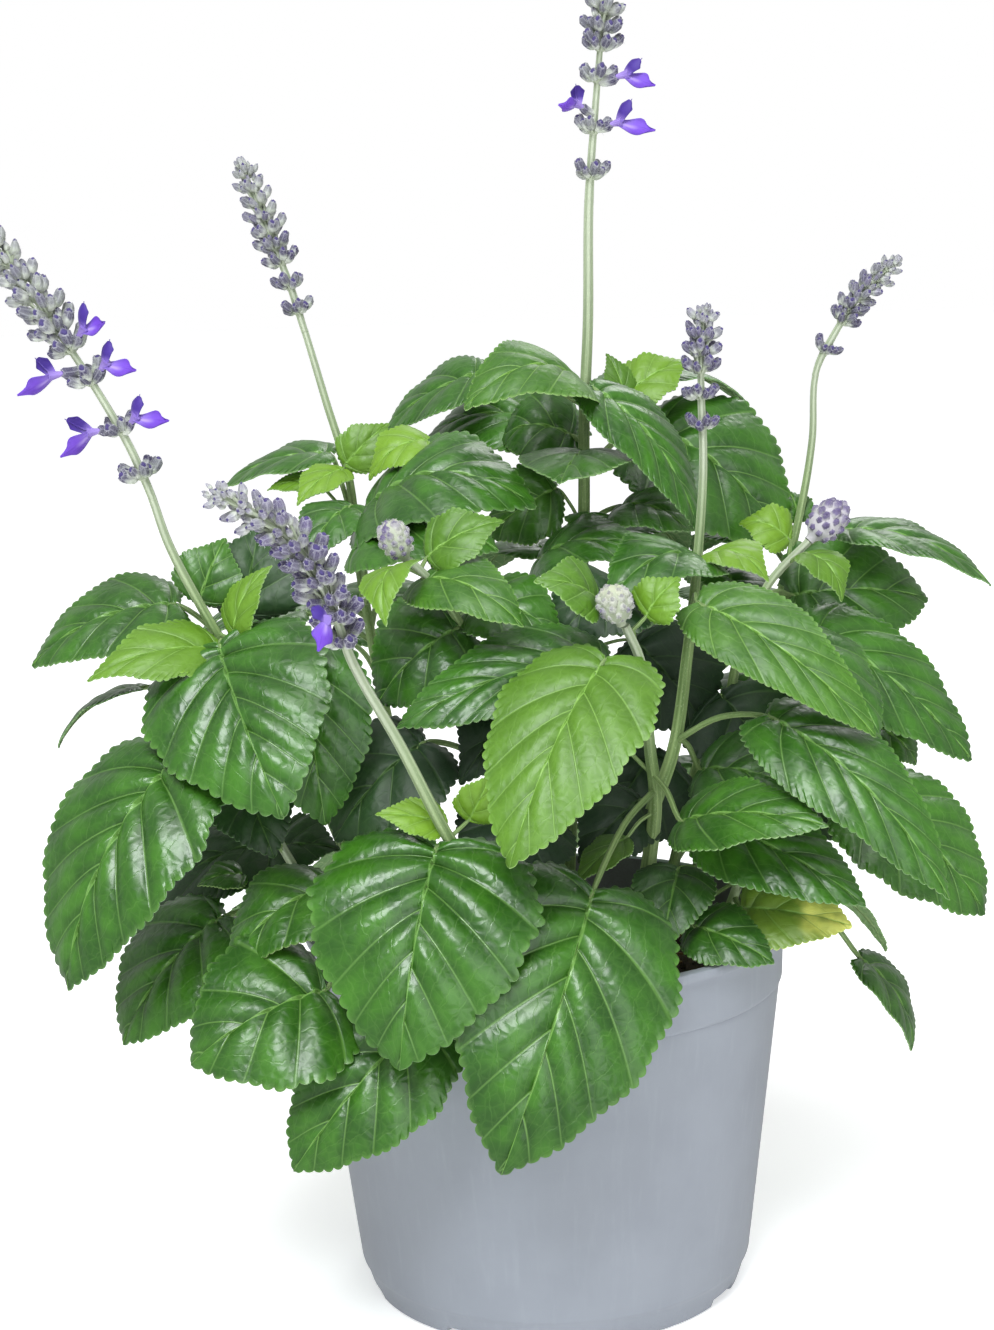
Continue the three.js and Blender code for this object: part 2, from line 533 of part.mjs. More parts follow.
// Leaves set round a stem by their direction: [stem, height, direction in degrees from +X,
// petiole length, rise of the petiole, blade length, fall of the tip, width, arch, small]
const SET_ROUND = [
  ["low_back_left", 150, 100, 26, 12, 52, 26, 40, 8],
  ["low_back_left", 152, 150, 28, 14, 54, 26, 40, 8],
  ["low_back_left", 175, 190, 30, 12, 52, 22, 40, 8],
  ["low_back_left", 200, 118, 26, 12, 50, 18, 40, 8],
  ["low_back_left", 214, 165, 28, 12, 52, 20, 40, 8],
  ["low_back", 150, 62, 26, 12, 52, 26, 40, 8],
  ["low_back", 176, 92, 28, 14, 54, 20, 40, 8],
  ["low_back", 205, 60, 24, 12, 48, 16, 38, 8],
  ["low_back", 212, 125, 24, 12, 48, 16, 38, 8],
  ["low_back_right", 150, 78, 26, 12, 50, 26, 40, 8],
  ["low_back_right", 152, 28, 28, 12, 54, 28, 40, 8],
  ["low_back_right", 178, 50, 28, 14, 54, 20, 40, 8],
  ["low_back_right", 200, 12, 26, 12, 50, 20, 40, 8],
  ["low_back_right", 212, 78, 24, 12, 46, 14, 38, 8],
  ["right_back", 160, 350, 22, 8, 46, 22, 36, 7],
  ["right_back", 226, 48, 20, 8, 44, 16, 34, 7],
  ["right_back", 244, 120, 18, 8, 40, 10, 32, 6],
  ["back", 214, 75, 26, 12, 46, 14, 38, 7],
  ["back", 244, 120, 24, 8, 46, 14, 36, 7],
  ["back", 250, 55, 24, 8, 46, 14, 34, 7],
  ["back_left", 228, 82, 22, 8, 42, 10, 34, 7],
  ["back_left", 232, 170, 22, 8, 42, 16, 34, 7],
  ["left", 190, 150, 22, 8, 42, 18, 34, 7],
  ["low_left", 132, 172, 24, 8, 44, 34, 36, 7, "small"],
  ["left", 136, 140, 26, 8, 44, 30, 34, 7, "small"],
  ["low_back_left", 132, 128, 26, 8, 44, 34, 36, 7, "small"],
  ["low_back", 131, 96, 24, 8, 44, 34, 36, 7, "small"],
  ["low_back_right", 130, 54, 26, 8, 44, 34, 36, 7, "small"],
  ["right", 130, 22, 34, 8, 44, 34, 36, 7, "small"],
];

// ---- the flower spikes -------------------------------------------------------------------------
// route of the rachis, where the lone lowest whorls stand (mm along), where the dense part starts
const SPIKES = {
  left: { route: [[-124.1, -42, 286], [-126.3, -42.5, 292.3], [-131.4, -42.5, 304.6], [-146.7, -42, 332.4],
    [-164.4, -40, 359.2], [-174.3, -40, 372.6]], lone: [6, 22, 40], dense: 52, size: 1.1 },
  back_left: { route: [[-79.6, 49, 333.9], [-83.8, 51, 348.5], [-90.8, 53, 367.8], [-100, 55, 393]],
    lone: [5, 14], dense: 23, size: 0.92 },
  back: { route: [[21.3, 20, 376.1], [24.3, 20, 408], [27.2, 20, 434], [29.6, 20, 448]],
    lone: [6, 21, 38], dense: 48.5, size: 1.0 },
  main: { route: [[56.3, -8, 292.9], [55.9, -8, 310], [56.2, -8, 325], [57.6, -8, 339.4]],
    lone: [6, 16], dense: 25, size: 0.92 },
  right_back: { route: [[102.4, 54, 312.6], [108.1, 54, 324], [117.4, 54, 337.9], [132.3, 54, 351.8]],
    lone: [7], dense: 19, size: 0.82 },
  front_left: { route: [[-57.8, -110, 242.2], [-63.2, -116, 261.2], [-73.1, -122, 280.4],
    [-94.1, -130, 296.2]], lone: [6], dense: 14, size: 1.12 },
};
const WHORL_STEP = 6.0;
const WHORL_HEIGHT = 3.6;
const TIP_SHRINK = 0.5;
const CALYX_COUNT = 5;
const CALYX = { reach: 7.8, lift: 5.2, heart: 3.4, loneHeart: 2.4, loneSpread: 0.85 };
const RACHIS_RADIUS = 1.5;
const FLOWER_ROOM = 3.8;
const CALYX_PART = 0.6;
const CALYX_WIDEST = 0.6;
const OPEN_CALYX_RADIUS = 1.9;
const FLOWER_DROP = 3;
const FLOWER_GAP = 0.6;
const PETAL_ROOT = 1.2;
const TUBE_RADII = [0.9, 1.6];

// Open flowers: [spike, throat where the two lips part, tip of the hood, tip of the lower lip]
const OPEN_FLOWERS = [
  ["left", [-141.8, -46, 340], [-141.5, -47, 347.8], [-134.2, -50, 341.8]],
  ["left", [-135.5, -46, 329.1], [-134.2, -46, 335.7], [-125.3, -50, 326.3]],
  ["left", [-153.5, -46, 325.2], [-157, -47, 331.1], [-163.6, -50, 319.5]],
  ["left", [-127, -46, 311.8], [-125.7, -46, 318.1], [-115.8, -50, 310.2]],
  ["left", [-142.5, -46, 306.9], [-148.8, -47, 311.6], [-151.2, -50, 299.6]],
  ["back", [35, 16, 416], [39.1, 15, 420.7], [44, 12, 411.6]],
  ["back", [17.1, 16, 407], [17.9, 15, 412.8], [11.3, 13, 406.4]],
  ["back", [32.4, 16, 400.4], [35.5, 15, 407.5], [43.8, 12, 397]],
  ["front_left", [-64, -125, 257.4], [-67.8, -126, 261.2], [-66.4, -129, 248.7]],
];
const HOOD = [[0.6, 1]];
const LIP = [[0.35, 0.55], [0.85, 1]];
const HOOD_WIDTH = 4.2;
const LIP_WIDTH = 7.6;
const PETAL_THICKNESS = 0.8;
const PETAL_TURN = 0.9;

function spikeCurve(name) {
  return new THREE.CatmullRomCurve3(SPIKES[name].route.map(vec), false, "centripetal");
}

// Where an open flower leaves its spike, and where its calyx ends.
function placeFlower([name, throatAt, hoodAt, lipAt]) {
  const [throat, hood, lip] = [throatAt, hoodAt, lipAt].map(vec);
  const curve = spikeCurve(name);
  const below = throat.clone().addScaledVector(curve.getTangentAt(0.5), -FLOWER_DROP);
  const root = curve.getSpacedPoints(80).reduce((a, b) => (
    a.distanceTo(below) < b.distanceTo(below) ? a : b));
  return { name, root, mouth: root.clone().lerp(throat, CALYX_PART), throat, hood, lip };
}

function makeSpike(name) {
  const { route, lone, dense, size } = SPIKES[name];
  const curve = spikeCurve(name);
  const length = curve.getLength();
  const flowers = OPEN_FLOWERS.map(placeFlower).filter((flower) => flower.name === name);
  const petals = flowers.flatMap(({ mouth, throat, hood, lip }) => [
    new THREE.Line3(mouth, throat), new THREE.Line3(throat, hood), new THREE.Line3(throat, lip)]);
  const frameAt = (s) => {
    const part = Math.min(s / length, 1);
    return { centre: curve.getPointAt(part), axis: curve.getTangentAt(part) };
  };
  const rows = [{ ...frameAt(0), radius: RACHIS_RADIUS }];
  const addWhorl = (s, k) => {
    const youth = Math.max(0, (s - dense) / (length - dense));
    const shrink = size * (1 - TIP_SHRINK * youth ** 3);
    const { centre, axis } = frameAt(s);
    const turn = k % 2;
    const side = new THREE.Vector3(1, 0, 0).addScaledVector(axis, -axis.x).normalize();
    const across = axis.clone().cross(side);
    const lift = CALYX.lift * shrink;
    const reach = CALYX.reach * shrink * (s < dense ? CALYX.loneSpread : 1);
    const reachOf = (j) => {
      const angle = (Math.PI * (2 * j + turn)) / CALYX_COUNT;
      const tip = centre.clone()
        .addScaledVector(side, reach * Math.cos(angle))
        .addScaledVector(across, reach * Math.sin(angle))
        .addScaledVector(axis, lift);
      const blocked = petals.some((line) => (
        line.closestPointToPoint(tip, true, new THREE.Vector3()).distanceTo(tip) < FLOWER_ROOM));
      return blocked ? 0 : reach;
    };
    const heart = s < dense ? CALYX.loneHeart : CALYX.heart;
    rows.push({ centre, axis, turn, lift, reachOf, radius: heart * shrink });
  };
  lone.forEach((s, k) => {
    addWhorl(s, k);
    rows.push({ ...frameAt(s + WHORL_HEIGHT), radius: RACHIS_RADIUS });
  });
  for (let s = dense, k = 0; s < length - 2; s += WHORL_STEP * size, k += 1) addWhorl(s, k);
  const solids = [starTube(vec(route[0]), rows, frameAt(length).centre, CALYX_COUNT)];
  for (const { root, mouth } of flowers) solids.push(spindle(root, mouth, OPEN_CALYX_RADIUS * size));
  return joinAll(solids);
}

// A flat petal from its root to its tip, with the outline on both sides.
function petal(root, tip, across, width, outline) {
  const along = tip.clone().sub(root);
  const length = along.length();
  along.normalize();
  const side = across.clone().addScaledVector(along, -across.dot(along)).normalize();
  const normal = along.clone().cross(side);
  const at = ([part, half]) => root.clone()
    .addScaledVector(along, part * length)
    .addScaledVector(side, (half * width) / 2);
  const mirrored = outline.map(([part, half]) => [part, -half]).reverse();
  const rim = [[0, 0], ...outline, [1, 0], ...mirrored].map(at);
  const count = rim.length;
  const points = [...rim, ...rim.map((p) => p.clone().addScaledVector(normal, PETAL_THICKNESS))];
  const faces = [];
  for (let k = 0; k < count; k++) {
    const next = (k + 1) % count;
    if (k > 0 && next > 0) faces.push([0, k, next], [count, count + next, count + k]);
    faces.push([k, count + next, next], [k, count + k, count + next]);
  }
  return toSolid(closedGeometry(points, faces));
}

// One open flower: a tube that widens to the throat, with a narrow hood above it and a broad
// lip below it.
function makeFlower(flower) {
  const { root, mouth, throat, hood, lip } = placeFlower(flower);
  const outwards = throat.clone().sub(root).normalize();
  const start = mouth.clone().addScaledVector(outwards, FLOWER_GAP);
  const inside = throat.clone().addScaledVector(outwards, -PETAL_ROOT);
  const end = throat.clone().addScaledVector(outwards, PETAL_ROOT / 2);
  const across = hood.clone().sub(throat).cross(lip.clone().sub(throat)).normalize();
  const turned = (tip) => across.clone().applyAxisAngle(tip.clone().sub(throat).normalize(), PETAL_TURN);
  return joinAll([
    tube([start, end], TUBE_RADII, 4),
    petal(inside, hood, turned(hood), HOOD_WIDTH, HOOD),
    petal(inside, lip, turned(lip), LIP_WIDTH, LIP),
  ]);
}

// ---- the closed heads: [foot, top, radius] ------------------------------------------------------
const HEADS = {
  front_centre: [[-43, -52.4, 265], [-49, -54, 277], 5.6],
  main: [[24.4, -67.6, 244.8], [21, -71, 257], 6.0],
  right: [[95.4, 13.2, 258.6], [107, 16, 270], 6.8],
};
const HEAD_ROWS = [[0.06, 0.8], [0.3, 1.0], [0.54, 0.85], [0.76, 0.5]];

function makeHead([footAt, topAt, radius]) {
  const foot = vec(footAt);
  const top = vec(topAt);
  const axis = top.clone().sub(foot).normalize();
  const length = top.distanceTo(foot);
  const rows = [{ centre: foot.clone(), axis, radius: 1.4 }];
  HEAD_ROWS.forEach(([part, wide], k) => {
    rows.push({
      centre: foot.clone().addScaledVector(axis, length * part), axis, turn: k % 2,
      radius: radius * wide * 0.74, lift: length * 0.18, reachOf: () => radius * wide,
    });
  });
  return starTube(foot, rows, top, 5);
}

// ---- assembly ----------------------------------------------------------------------------------
function widths(radii, count) {
  return Array.from({ length: count }, (_, i) => radii[0] + ((radii[1] - radii[0]) * i) / (count - 1));
}

function makeLeaf(route, height, base, tip, width, facing, arch, cup, small) {
  const start = onStem(route, height);
  const bend = start.clone().lerp(base, 0.5);
  bend.z += start.distanceTo(base) * STALK_RISE;
  const form = small ? SMALL : width > BROAD_OVER ? BROAD : MIDDLING;
  const stalk = form === BROAD ? [start, bend] : [start];
  const stalkRadius = small ? SMALL_STALK : STALK;
  return blade({ base, tip, width, facing, arch, cup, ...form, stalk, stalkRadius });
}

function leavesOf(name, route) {
  const solids = [];
  for (const [stem, height, base, tip, width, facing, arch, cup, small] of LEAVES) {
    if (stem !== name) continue;
    solids.push(makeLeaf(route, height, vec(base), vec(tip), width, vec(facing), arch, cup, small));
  }
  for (const [stem, height, degrees, petiole, rise, length, fall, width, arch, small] of SET_ROUND) {
    if (stem !== name) continue;
    const angle = THREE.MathUtils.degToRad(degrees);
    const out = new THREE.Vector3(Math.cos(angle), Math.sin(angle), 0);
    const base = onStem(route, height).addScaledVector(out, petiole);
    base.z += rise;
    const tip = base.clone().addScaledVector(out, length);
    tip.z -= fall;
    const facing = new THREE.Vector3(out.x * 0.3, out.y * 0.3, 1);
    solids.push(makeLeaf(route, height, base, tip, width, facing, arch, -0.06, small));
  }
  return solids;
}

function makeStem(name) {
  const { route, radii, fork } = STEMS[name];
  const solids = [tube(route.map(vec), widths(radii, route.length), 4), ...leavesOf(name, route)];
  if (fork) {
    solids.push(tube(fork.route.map(vec), widths(fork.radii, fork.route.length), 4));
    solids.push(...leavesOf("fork", fork.route));
  }
  return joinAll(solids);
}

const plant = new THREE.Group();
plant.add(toMesh("pot", makePot(), GREY_PLASTIC));
plant.add(toMesh("soil", makeSoil(Object.values(STEMS)), POTTING_MIX));
for (const name of Object.keys(STEMS)) {
  plant.add(toMesh(`leafy_stem_${name}`, makeStem(name), LEAF_GREEN));
}
for (const name of Object.keys(SPIKES)) {
  plant.add(toMesh(`flower_spike_${name}`, makeSpike(name), CALYX_GREY));
}
for (const [name, head] of Object.entries(HEADS)) {
  plant.add(toMesh(`bud_head_${name}`, makeHead(head), BUD_PALE));
}
OPEN_FLOWERS.forEach((flower, i) => {
  plant.add(toMesh(`open_flower_${i + 1}`, makeFlower(flower), VIOLET));
});

export default plant;
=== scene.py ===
"""Dresses a potted perennial salvia: its pot and mix, leafy stems, flower spikes and heads."""
import math
from functools import lru_cache, reduce
from itertools import combinations

import bpy
import numpy as np
from bpy.props import FloatProperty, FloatVectorProperty, IntProperty, PointerProperty
from mathutils import Euler, Matrix, Vector


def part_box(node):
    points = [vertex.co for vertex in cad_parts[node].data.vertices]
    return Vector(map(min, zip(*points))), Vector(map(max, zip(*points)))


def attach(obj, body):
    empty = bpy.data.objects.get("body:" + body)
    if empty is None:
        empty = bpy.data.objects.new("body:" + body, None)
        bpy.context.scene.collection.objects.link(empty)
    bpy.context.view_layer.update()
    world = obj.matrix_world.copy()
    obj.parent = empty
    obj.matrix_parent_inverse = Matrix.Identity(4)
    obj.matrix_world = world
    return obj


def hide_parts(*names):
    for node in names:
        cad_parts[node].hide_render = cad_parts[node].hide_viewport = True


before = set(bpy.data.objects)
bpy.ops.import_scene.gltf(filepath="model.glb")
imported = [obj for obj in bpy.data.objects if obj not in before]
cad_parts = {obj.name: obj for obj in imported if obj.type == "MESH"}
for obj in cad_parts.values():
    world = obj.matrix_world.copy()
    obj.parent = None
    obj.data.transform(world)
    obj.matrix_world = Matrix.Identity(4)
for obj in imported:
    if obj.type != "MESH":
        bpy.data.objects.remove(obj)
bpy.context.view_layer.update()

bl_info = {
    "name": "Potted Salvia",
    "version": (1, 0, 0),
    "blender": (4, 5, 0),
    "location": "View3D > Sidebar > Salvia",
    "description": "Makes a potted salvia with its leaves, flower spikes and closed heads",
    "category": "Object",
}

MM = 0.001
_, POT_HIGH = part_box("pot")


# All lengths in the tables and the constants are in mm, unless a comment says otherwise. X runs to
# the right, Y to the back and Z up, from the middle of the pot's foot.

# ---- stems: the route from the root up, with the radius at the root and at the top --------------
STEMS = {
    "left": (((-50, -10, 101), (-68, -18, 160), (-88, -28, 212), (-103, -35, 234), (-111, -38, 250),
              (-119.5, -41, 270), (-123.8, -42, 284.9)), (2.9, 1.5)),
    "back_left": (((-38, 26, 101), (-52, 28, 180), (-62, 30, 250), (-65, 38, 281), (-72.5, 45, 308),
                   (-79.2, 49, 332.7)), (2.6, 1.4)),
    "back": (((6, 26, 101), (12, 26, 190), (17, 25, 263), (18, 24, 300), (20, 22, 334),
              (21.2, 20, 374.9)), (3.2, 1.8)),
    "main": (((27, -28, 101), (33, -35, 151), (36, -42, 180), (34, -50, 200), (31, -61, 230),
              (26, -66, 243)), (3.6, 1.6)),
    "fork": (((35, -39, 176), (43, -34, 196), (49, -22, 226), (53, -12, 250), (56, -8, 281),
              (56.3, -8, 291.7)), (2.6, 1.5)),
    "right_back": (((46, 24, 101), (62, 34, 160), (83, 42, 218), (96, 51, 263), (100.6, 53, 288),
                    (102.2, 54, 311.4)), (2.6, 1.3)),
    "front_left": (((-20, -42, 101), (-23, -60, 148), (-26, -72, 168), (-32, -84, 181.5),
                    (-45, -97, 213.5), (-57.3, -109.5, 241)), (2.9, 1.7)),
    "front_centre": (((-16, -16, 101), (-18, -30, 190), (-24, -40, 235), (-35, -48, 256),
                      (-42, -52, 264)), (2.6, 1.5)),
    "right": (((46, 0, 101), (60, 6, 170), (70, 10, 222), (80, 11, 243), (94, 13, 257)), (2.8, 1.5)),
    "low_front_left": (((-42, -36, 101), (-50, -48, 132), (-58, -56, 152)), (2.4, 1.6)),
    "low_left": (((-62, -22, 101), (-76, -30, 140), (-90, -38, 172)), (2.4, 1.6)),
    "low_right": (((48, -34, 101), (58, -38, 135), (68, -42, 165)), (2.4, 1.6)),
    "low_back_left": (((-34, 48, 101), (-48, 62, 150), (-58, 74, 200), (-60, 77, 220)), (2.6, 1.5)),
    "low_back": (((6, 58, 101), (7, 70, 150), (9, 82, 200), (9, 88, 240)), (2.6, 1.5)),
    "low_back_right": (((40, 50, 101), (54, 62, 150), (66, 72, 196), (70, 78, 232)), (2.6, 1.5)),
}
FORKED_FROM = {"main": ("fork",)}

# ---- leaves ------------------------------------------------------------------------------------
# leaves of each stem: height on the stem, base, tip, width, facing, arch, edge lift per half width,
# form and age
LEAVES = {
    "left": (
        (236, (-104, -46, 237), (-82, -92, 191), 64, (-0.25, -0.75, 0.6), 8, -0.08, "broad", "dark"),
        (237, (-104, -42, 235), (-146, -56, 229), 28, (0, -0.6, 0.8), 6, 0, "small", "young"),
        (233, (-106, -44, 234), (-129, -60, 230), 16, (0, -0.6, 0.8), 3, 0, "small", "young"),
        (226, (-122, -14, 246), (-171, -16, 227), 40, (-0.1, -0.5, 0.8), 7, -0.05, "middling", "mature"),
        (205, (-139, 6, 214), (-168, 6, 194), 26, (-0.1, 0.05, 1), 5, 0, "middling", "mature"),
        (238, (-112, -30, 249), (-103, -22, 269), 24, (0.1, -0.75, 0.5), 4, 0, "small", "mature"),
        (239, (-100, -42, 239), (-87, -40, 262), 18, (-0.5, -0.6, 0.6), 4, 0, "small", "young"),
        (215, (-78, -52, 236), (-71, -66, 181), 42, (0, -0.8, 0.6), 6, -0.05, "broad", "dark"),
        (232, (-98, -24, 243), (-92, -12, 272), 38, (0, -0.8, 0.5), 3, 0, "small", "shaded"),
    ),
    "back_left": (
        (262, (-72, 46, 289), (-112, 52, 277), 34, (-0.15, -0.2, 1), 4, 0, "middling", "mature"),
        (267, (-66, 30, 285), (-82, 14, 275), 18, (-0.1, -0.5, 0.85), 3, 0, "small", "young"),
        (262, (-76, 34, 280), (-94, 36, 278), 14, (-0.1, -0.4, 0.9), 2, 0, "small", "young"),
        (268, (-66, 34, 286), (-50, 38, 300), 18, (0.3, -0.7, 0.6), 3, 0, "small", "young"),
        (262, (-35, 20, 295), (-57, 14, 283), 22, (-0.2, -0.6, 0.75), 6, 0, "small", "young"),
        (250, (-63, 14, 274), (-78, -6, 258), 26, (-0.2, -0.6, 0.75), 4, 0, "middling", "mature"),
        (243, (-57, 10, 274), (0, -8, 275), 55, (0, -0.5, 0.85), 14, -0.05, "broad", "mature"),
        (236, (-59, -4, 264), (-13, -20, 262), 42, (0, -0.5, 0.85), 9, -0.05, "broad", "mature"),
    ),
    "back": (
        (305, (-18, 44, 316), (-53, 54, 296), 34, (-0.3, -0.4, 0.85), 3, 0, "middling", "mature"),
        (300, (16, 10, 315), (-23, -14, 309), 36, (-0.1, -0.6, 0.8), 11, -0.05, "middling", "young"),
        (298, (21, 12, 312), (55, -2, 264), 34, (0.45, -0.5, 0.75), 7, -0.05, "middling", "mature"),
        (309, (33, 36, 306), (27, 40, 322), 12, (0.2, -0.7, 0.6), 2, 0, "small", "young"),
        (306, (34, 38, 308), (56, 46, 318), 22, (-0.2, -0.75, 0.6), 3, 0, "small", "young"),
        (303, (29, 56, 310), (81, 84, 299), 34, (0, -0.1, 1), 8, 0, "middling", "mature"),
        (290, (16, 50, 291), (-38, 66, 292), 38, (0, -0.6, 0.8), 12, 0, "middling", "mature"),
        (292, (14, 34, 294), (-11, 40, 293), 34, (0, -0.75, 0.6), 8, 0, "middling", "mature"),
        (279, (17, 14, 290), (8, -28, 285), 38, (0, -0.15, 1), 2, -0.05, "middling", "pale"),
        (281, (44, 56, 294), (90, 44, 252), 66, (0.25, -0.7, 0.65), 8, -0.05, "broad", "mature"),
        (262, (8, 30, 276), (-18, 34, 258), 34, (-0.1, -0.7, 0.6), 3, 0, "small", "olive"),
        (258, (19, 22, 268), (20, 14, 257), 20, (0.2, -0.6, 0.7), 2, 0, "small", "olive"),
        (262, (31, 26, 270), (53, 12, 262), 30, (0.2, -0.55, 0.8), 4, 0, "middling", "mature"),
        (240, (1, 10, 254), (38, -4, 255), 34, (0, -0.45, 0.9), 8, 0, "middling", "mature"),
        (215, (33, 14, 224), (60, 2, 190), 47, (0.1, -0.8, 0.5), 4, 0, "small", "shaded"),
        (180, (40, 10, 186), (14, -6, 152), 50, (0, -0.8, 0.5), 4, 0, "small", "shaded"),
    ),
    "main": (
        (228, (20, -55, 230), (-47, -73, 214), 38, (-0.1, -0.65, 0.75), 8, -0.05, "middling", "mature"),
        (214, (19, -76, 234), (-13, -116, 179), 50, (-0.32, -0.83, 0.45), 8, -0.08, "broad", "young"),
        (240, (18, -60, 250), (-2, -70, 259), 24, (0, -0.7, 0.7), 4, 0, "small", "young"),
        (240, (33, -61, 245), (44, -60, 257), 18, (-0.2, -0.8, 0.5), 3, 0, "small", "young"),
        (184, (13, -84, 161), (-18, -122, 84), 70, (0.15, -0.85, 0.5), 12, -0.08, "broad", "mature"),
        (176, (26, -46, 169), (8, -62, 158), 14, (-0.2, -0.6, 0.8), 2, 0, "small", "young"),
        (190, (43, -62, 178), (86, -92, 183), 30, (0.05, -0.65, 0.75), 5, 0, "middling", "mature"),
        (215, (27, -20, 248), (6, -34, 234), 38, (0, -0.7, 0.7), 5, 0, "middling", "shaded"),
        (190, (-3, -46, 218), (-28, -60, 192), 34, (-0.1, -0.8, 0.5), 4, 0, "small", "shaded"),
        (150, (32, -30, 178), (10, -42, 160), 30, (0, -0.75, 0.6), 3, 0, "small", "shaded"),
    ),
    "fork": (
        (256, (54, -14, 256), (22, -44, 248), 36, (-0.1, -0.5, 0.85), 8, 0, "middling", "mature"),
        (254, (56, -16, 257), (75, -34, 251), 24, (0.2, -0.5, 0.85), 6, 0, "small", "young"),
        (240, (51, -52, 247), (103, -80, 208), 32, (0.1, -0.75, 0.65), 8, 0.05, "middling", "young"),
        (198, (72, -60, 211), (124, -92, 158), 36, (0.11, -0.73, 0.67), 12, -0.06, "middling", "mature"),
        (200, (53, -20, 185), (85, -34, 180), 34, (0.1, -0.7, 0.7), 5, 0, "middling", "mature"),
    ),
    "right_back": (
        (262, (96, 52, 259), (93, 60, 269), 14, (0, -0.8, 0.5), 2, 0, "small", "olive"),
        (214, (72, 62, 236), (64, 104, 226), 36, (0.1, 0.3, 0.9), 7, -0.05, "middling", "mature"),
    ),
    "front_left": (
        (176, (-35, -84, 178), (-48, -118, 117), 72, (-0.1, -0.85, 0.5), 10, -0.1, "broad", "dark"),
        (180, (-32, -80, 184), (-54, -84, 189), 15, (0, -0.7, 0.7), 2, 0, "small", "young"),
        (180, (-25, -80, 185), (-17, -84, 201), 15, (0.2, -0.8, 0.5), 2, 0, "small", "young"),
    ),
    "front_centre": (
        (257, (-38, -48, 257), (-6, -72, 245), 28, (0.1, -0.65, 0.75), 7, -0.05, "middling", "young"),
        (260, (-36, -46, 264), (-11, -46, 275), 22, (-0.1, -0.75, 0.6), 4, 0, "small", "young"),
        (258, (-44, -52, 262), (-49, -76, 247), 20, (-0.45, -0.55, 0.7), 7, 0, "small", "young"),
        (238, (-20, -34, 247), (6, -44, 235), 34, (0.1, -0.6, 0.8), 5, 0, "middling", "mature"),
        (215, (-27, -44, 240), (-54, -46, 216), 40, (-0.1, -0.8, 0.55), 7, 0, "middling", "mature"),
        (190, (-39, -46, 203), (-69, -58, 174), 42, (-0.2, -0.75, 0.6), 6, -0.05, "broad", "shaded"),
        (170, (-6, -38, 176), (-20, -62, 154), 40, (0, -0.7, 0.7), 5, -0.05, "middling", "shaded"),
    ),
    "right": (
        (222, (80, -12, 231), (110, -44, 200), 38, (0.35, -0.5, 0.8), 6, -0.05, "middling", "mature"),
        (224, (94, 4, 228), (147, -8, 183), 44, (0.3, -0.6, 0.7), 5, 0, "broad", "mature"),
        (190, (106, -24, 176), (146, -38, 137), 50, (0.25, -0.65, 0.7), 6, -0.05, "broad", "mature"),
        (244, (110, 34, 258), (160, 26, 238), 30, (0.1, -0.25, 1), 6, 0, "middling", "mature"),
        (236, (91, 34, 235), (141, 44, 231), 46, (0.1, -0.8, 0.55), 6, 0, "broad", "pale"),
        (250, (88, 18, 257), (71, 22, 263), 20, (-0.1, -0.7, 0.7), 5, 0, "small", "young"),
        (250, (92, 6, 254), (103, -6, 239), 20, (0.4, -0.6, 0.7), 5, 0, "small", "young"),
        (160, (86, 8, 170), (120, 0, 150), 34, (0.3, -0.6, 0.75), 5, 0, "middling", "shaded"),
        (190, (62, 4, 206), (84, -8, 172), 46, (0.1, -0.8, 0.5), 4, 0, "small", "shaded"),
    ),
    "low_front_left": (
        (150, (-42, -92, 124), (-83, -104, 80), 48, (-0.1, -0.8, 0.55), 6, -0.05, "broad", "mature"),
        (148, (-72, -84, 132), (-114, -98, 114), 58, (-0.15, -0.75, 0.65), 7, -0.05, "broad", "mature"),
        (146, (-71, -62, 160), (-103, -74, 138), 38, (-0.2, -0.5, 0.85), 6, 0, "middling", "olive"),
    ),
    "low_left": (
        (140, (-108, -46, 146), (-141, -60, 108), 48, (-0.35, -0.6, 0.7), 6, -0.05, "broad", "dark"),
        (165, (-118, -62, 203), (-154, -82, 134), 60, (-0.5, -0.75, 0.43), 11, -0.08, "broad", "dark"),
        (150, (-101, -30, 156), (-117, -34, 154), 16, (0, -0.4, 0.9), 2, 0, "small", "olive"),
        (160, (-99, -37, 187), (-89, -54, 168), 28, (0, -0.75, 0.6), 4, 0, "middling", "shaded"),
        (146, (-92, -14, 164), (-138, -18, 142), 40, (-0.3, -0.5, 0.8), 5, 0, "middling", "shaded"),
        (150, (-92, -20, 162), (-69, -34, 165), 28, (0, -0.7, 0.7), 3, 0, "small", "shaded"),
    ),
    "low_right": (
        (160, (52, -52, 175), (100, -78, 153), 36, (0.1, -0.7, 0.7), 5, -0.05, "middling", "dark"),
        (146, (64, -46, 144), (98, -60, 141), 28, (0.1, -0.8, 0.6), 3, 0, "middling", "yellowing"),
        (160, (108, -14, 115), (125, -18, 83), 24, (0.7, -0.4, 0.5), 5, 0, "middling", "mature"),
        (150, (43, -46, 158), (36, -66, 138), 27, (-0.1, -0.8, 0.5), 3, 0, "middling", "pale"),
        (142, (47, -52, 140), (72, -66, 131), 24, (0, -0.7, 0.7), 3, 0, "middling", "mature"),
        (162, (117, 6, 192), (130, 4, 179), 22, (0.3, -0.7, 0.6), 3, 0, "small", "olive"),
    ),
}

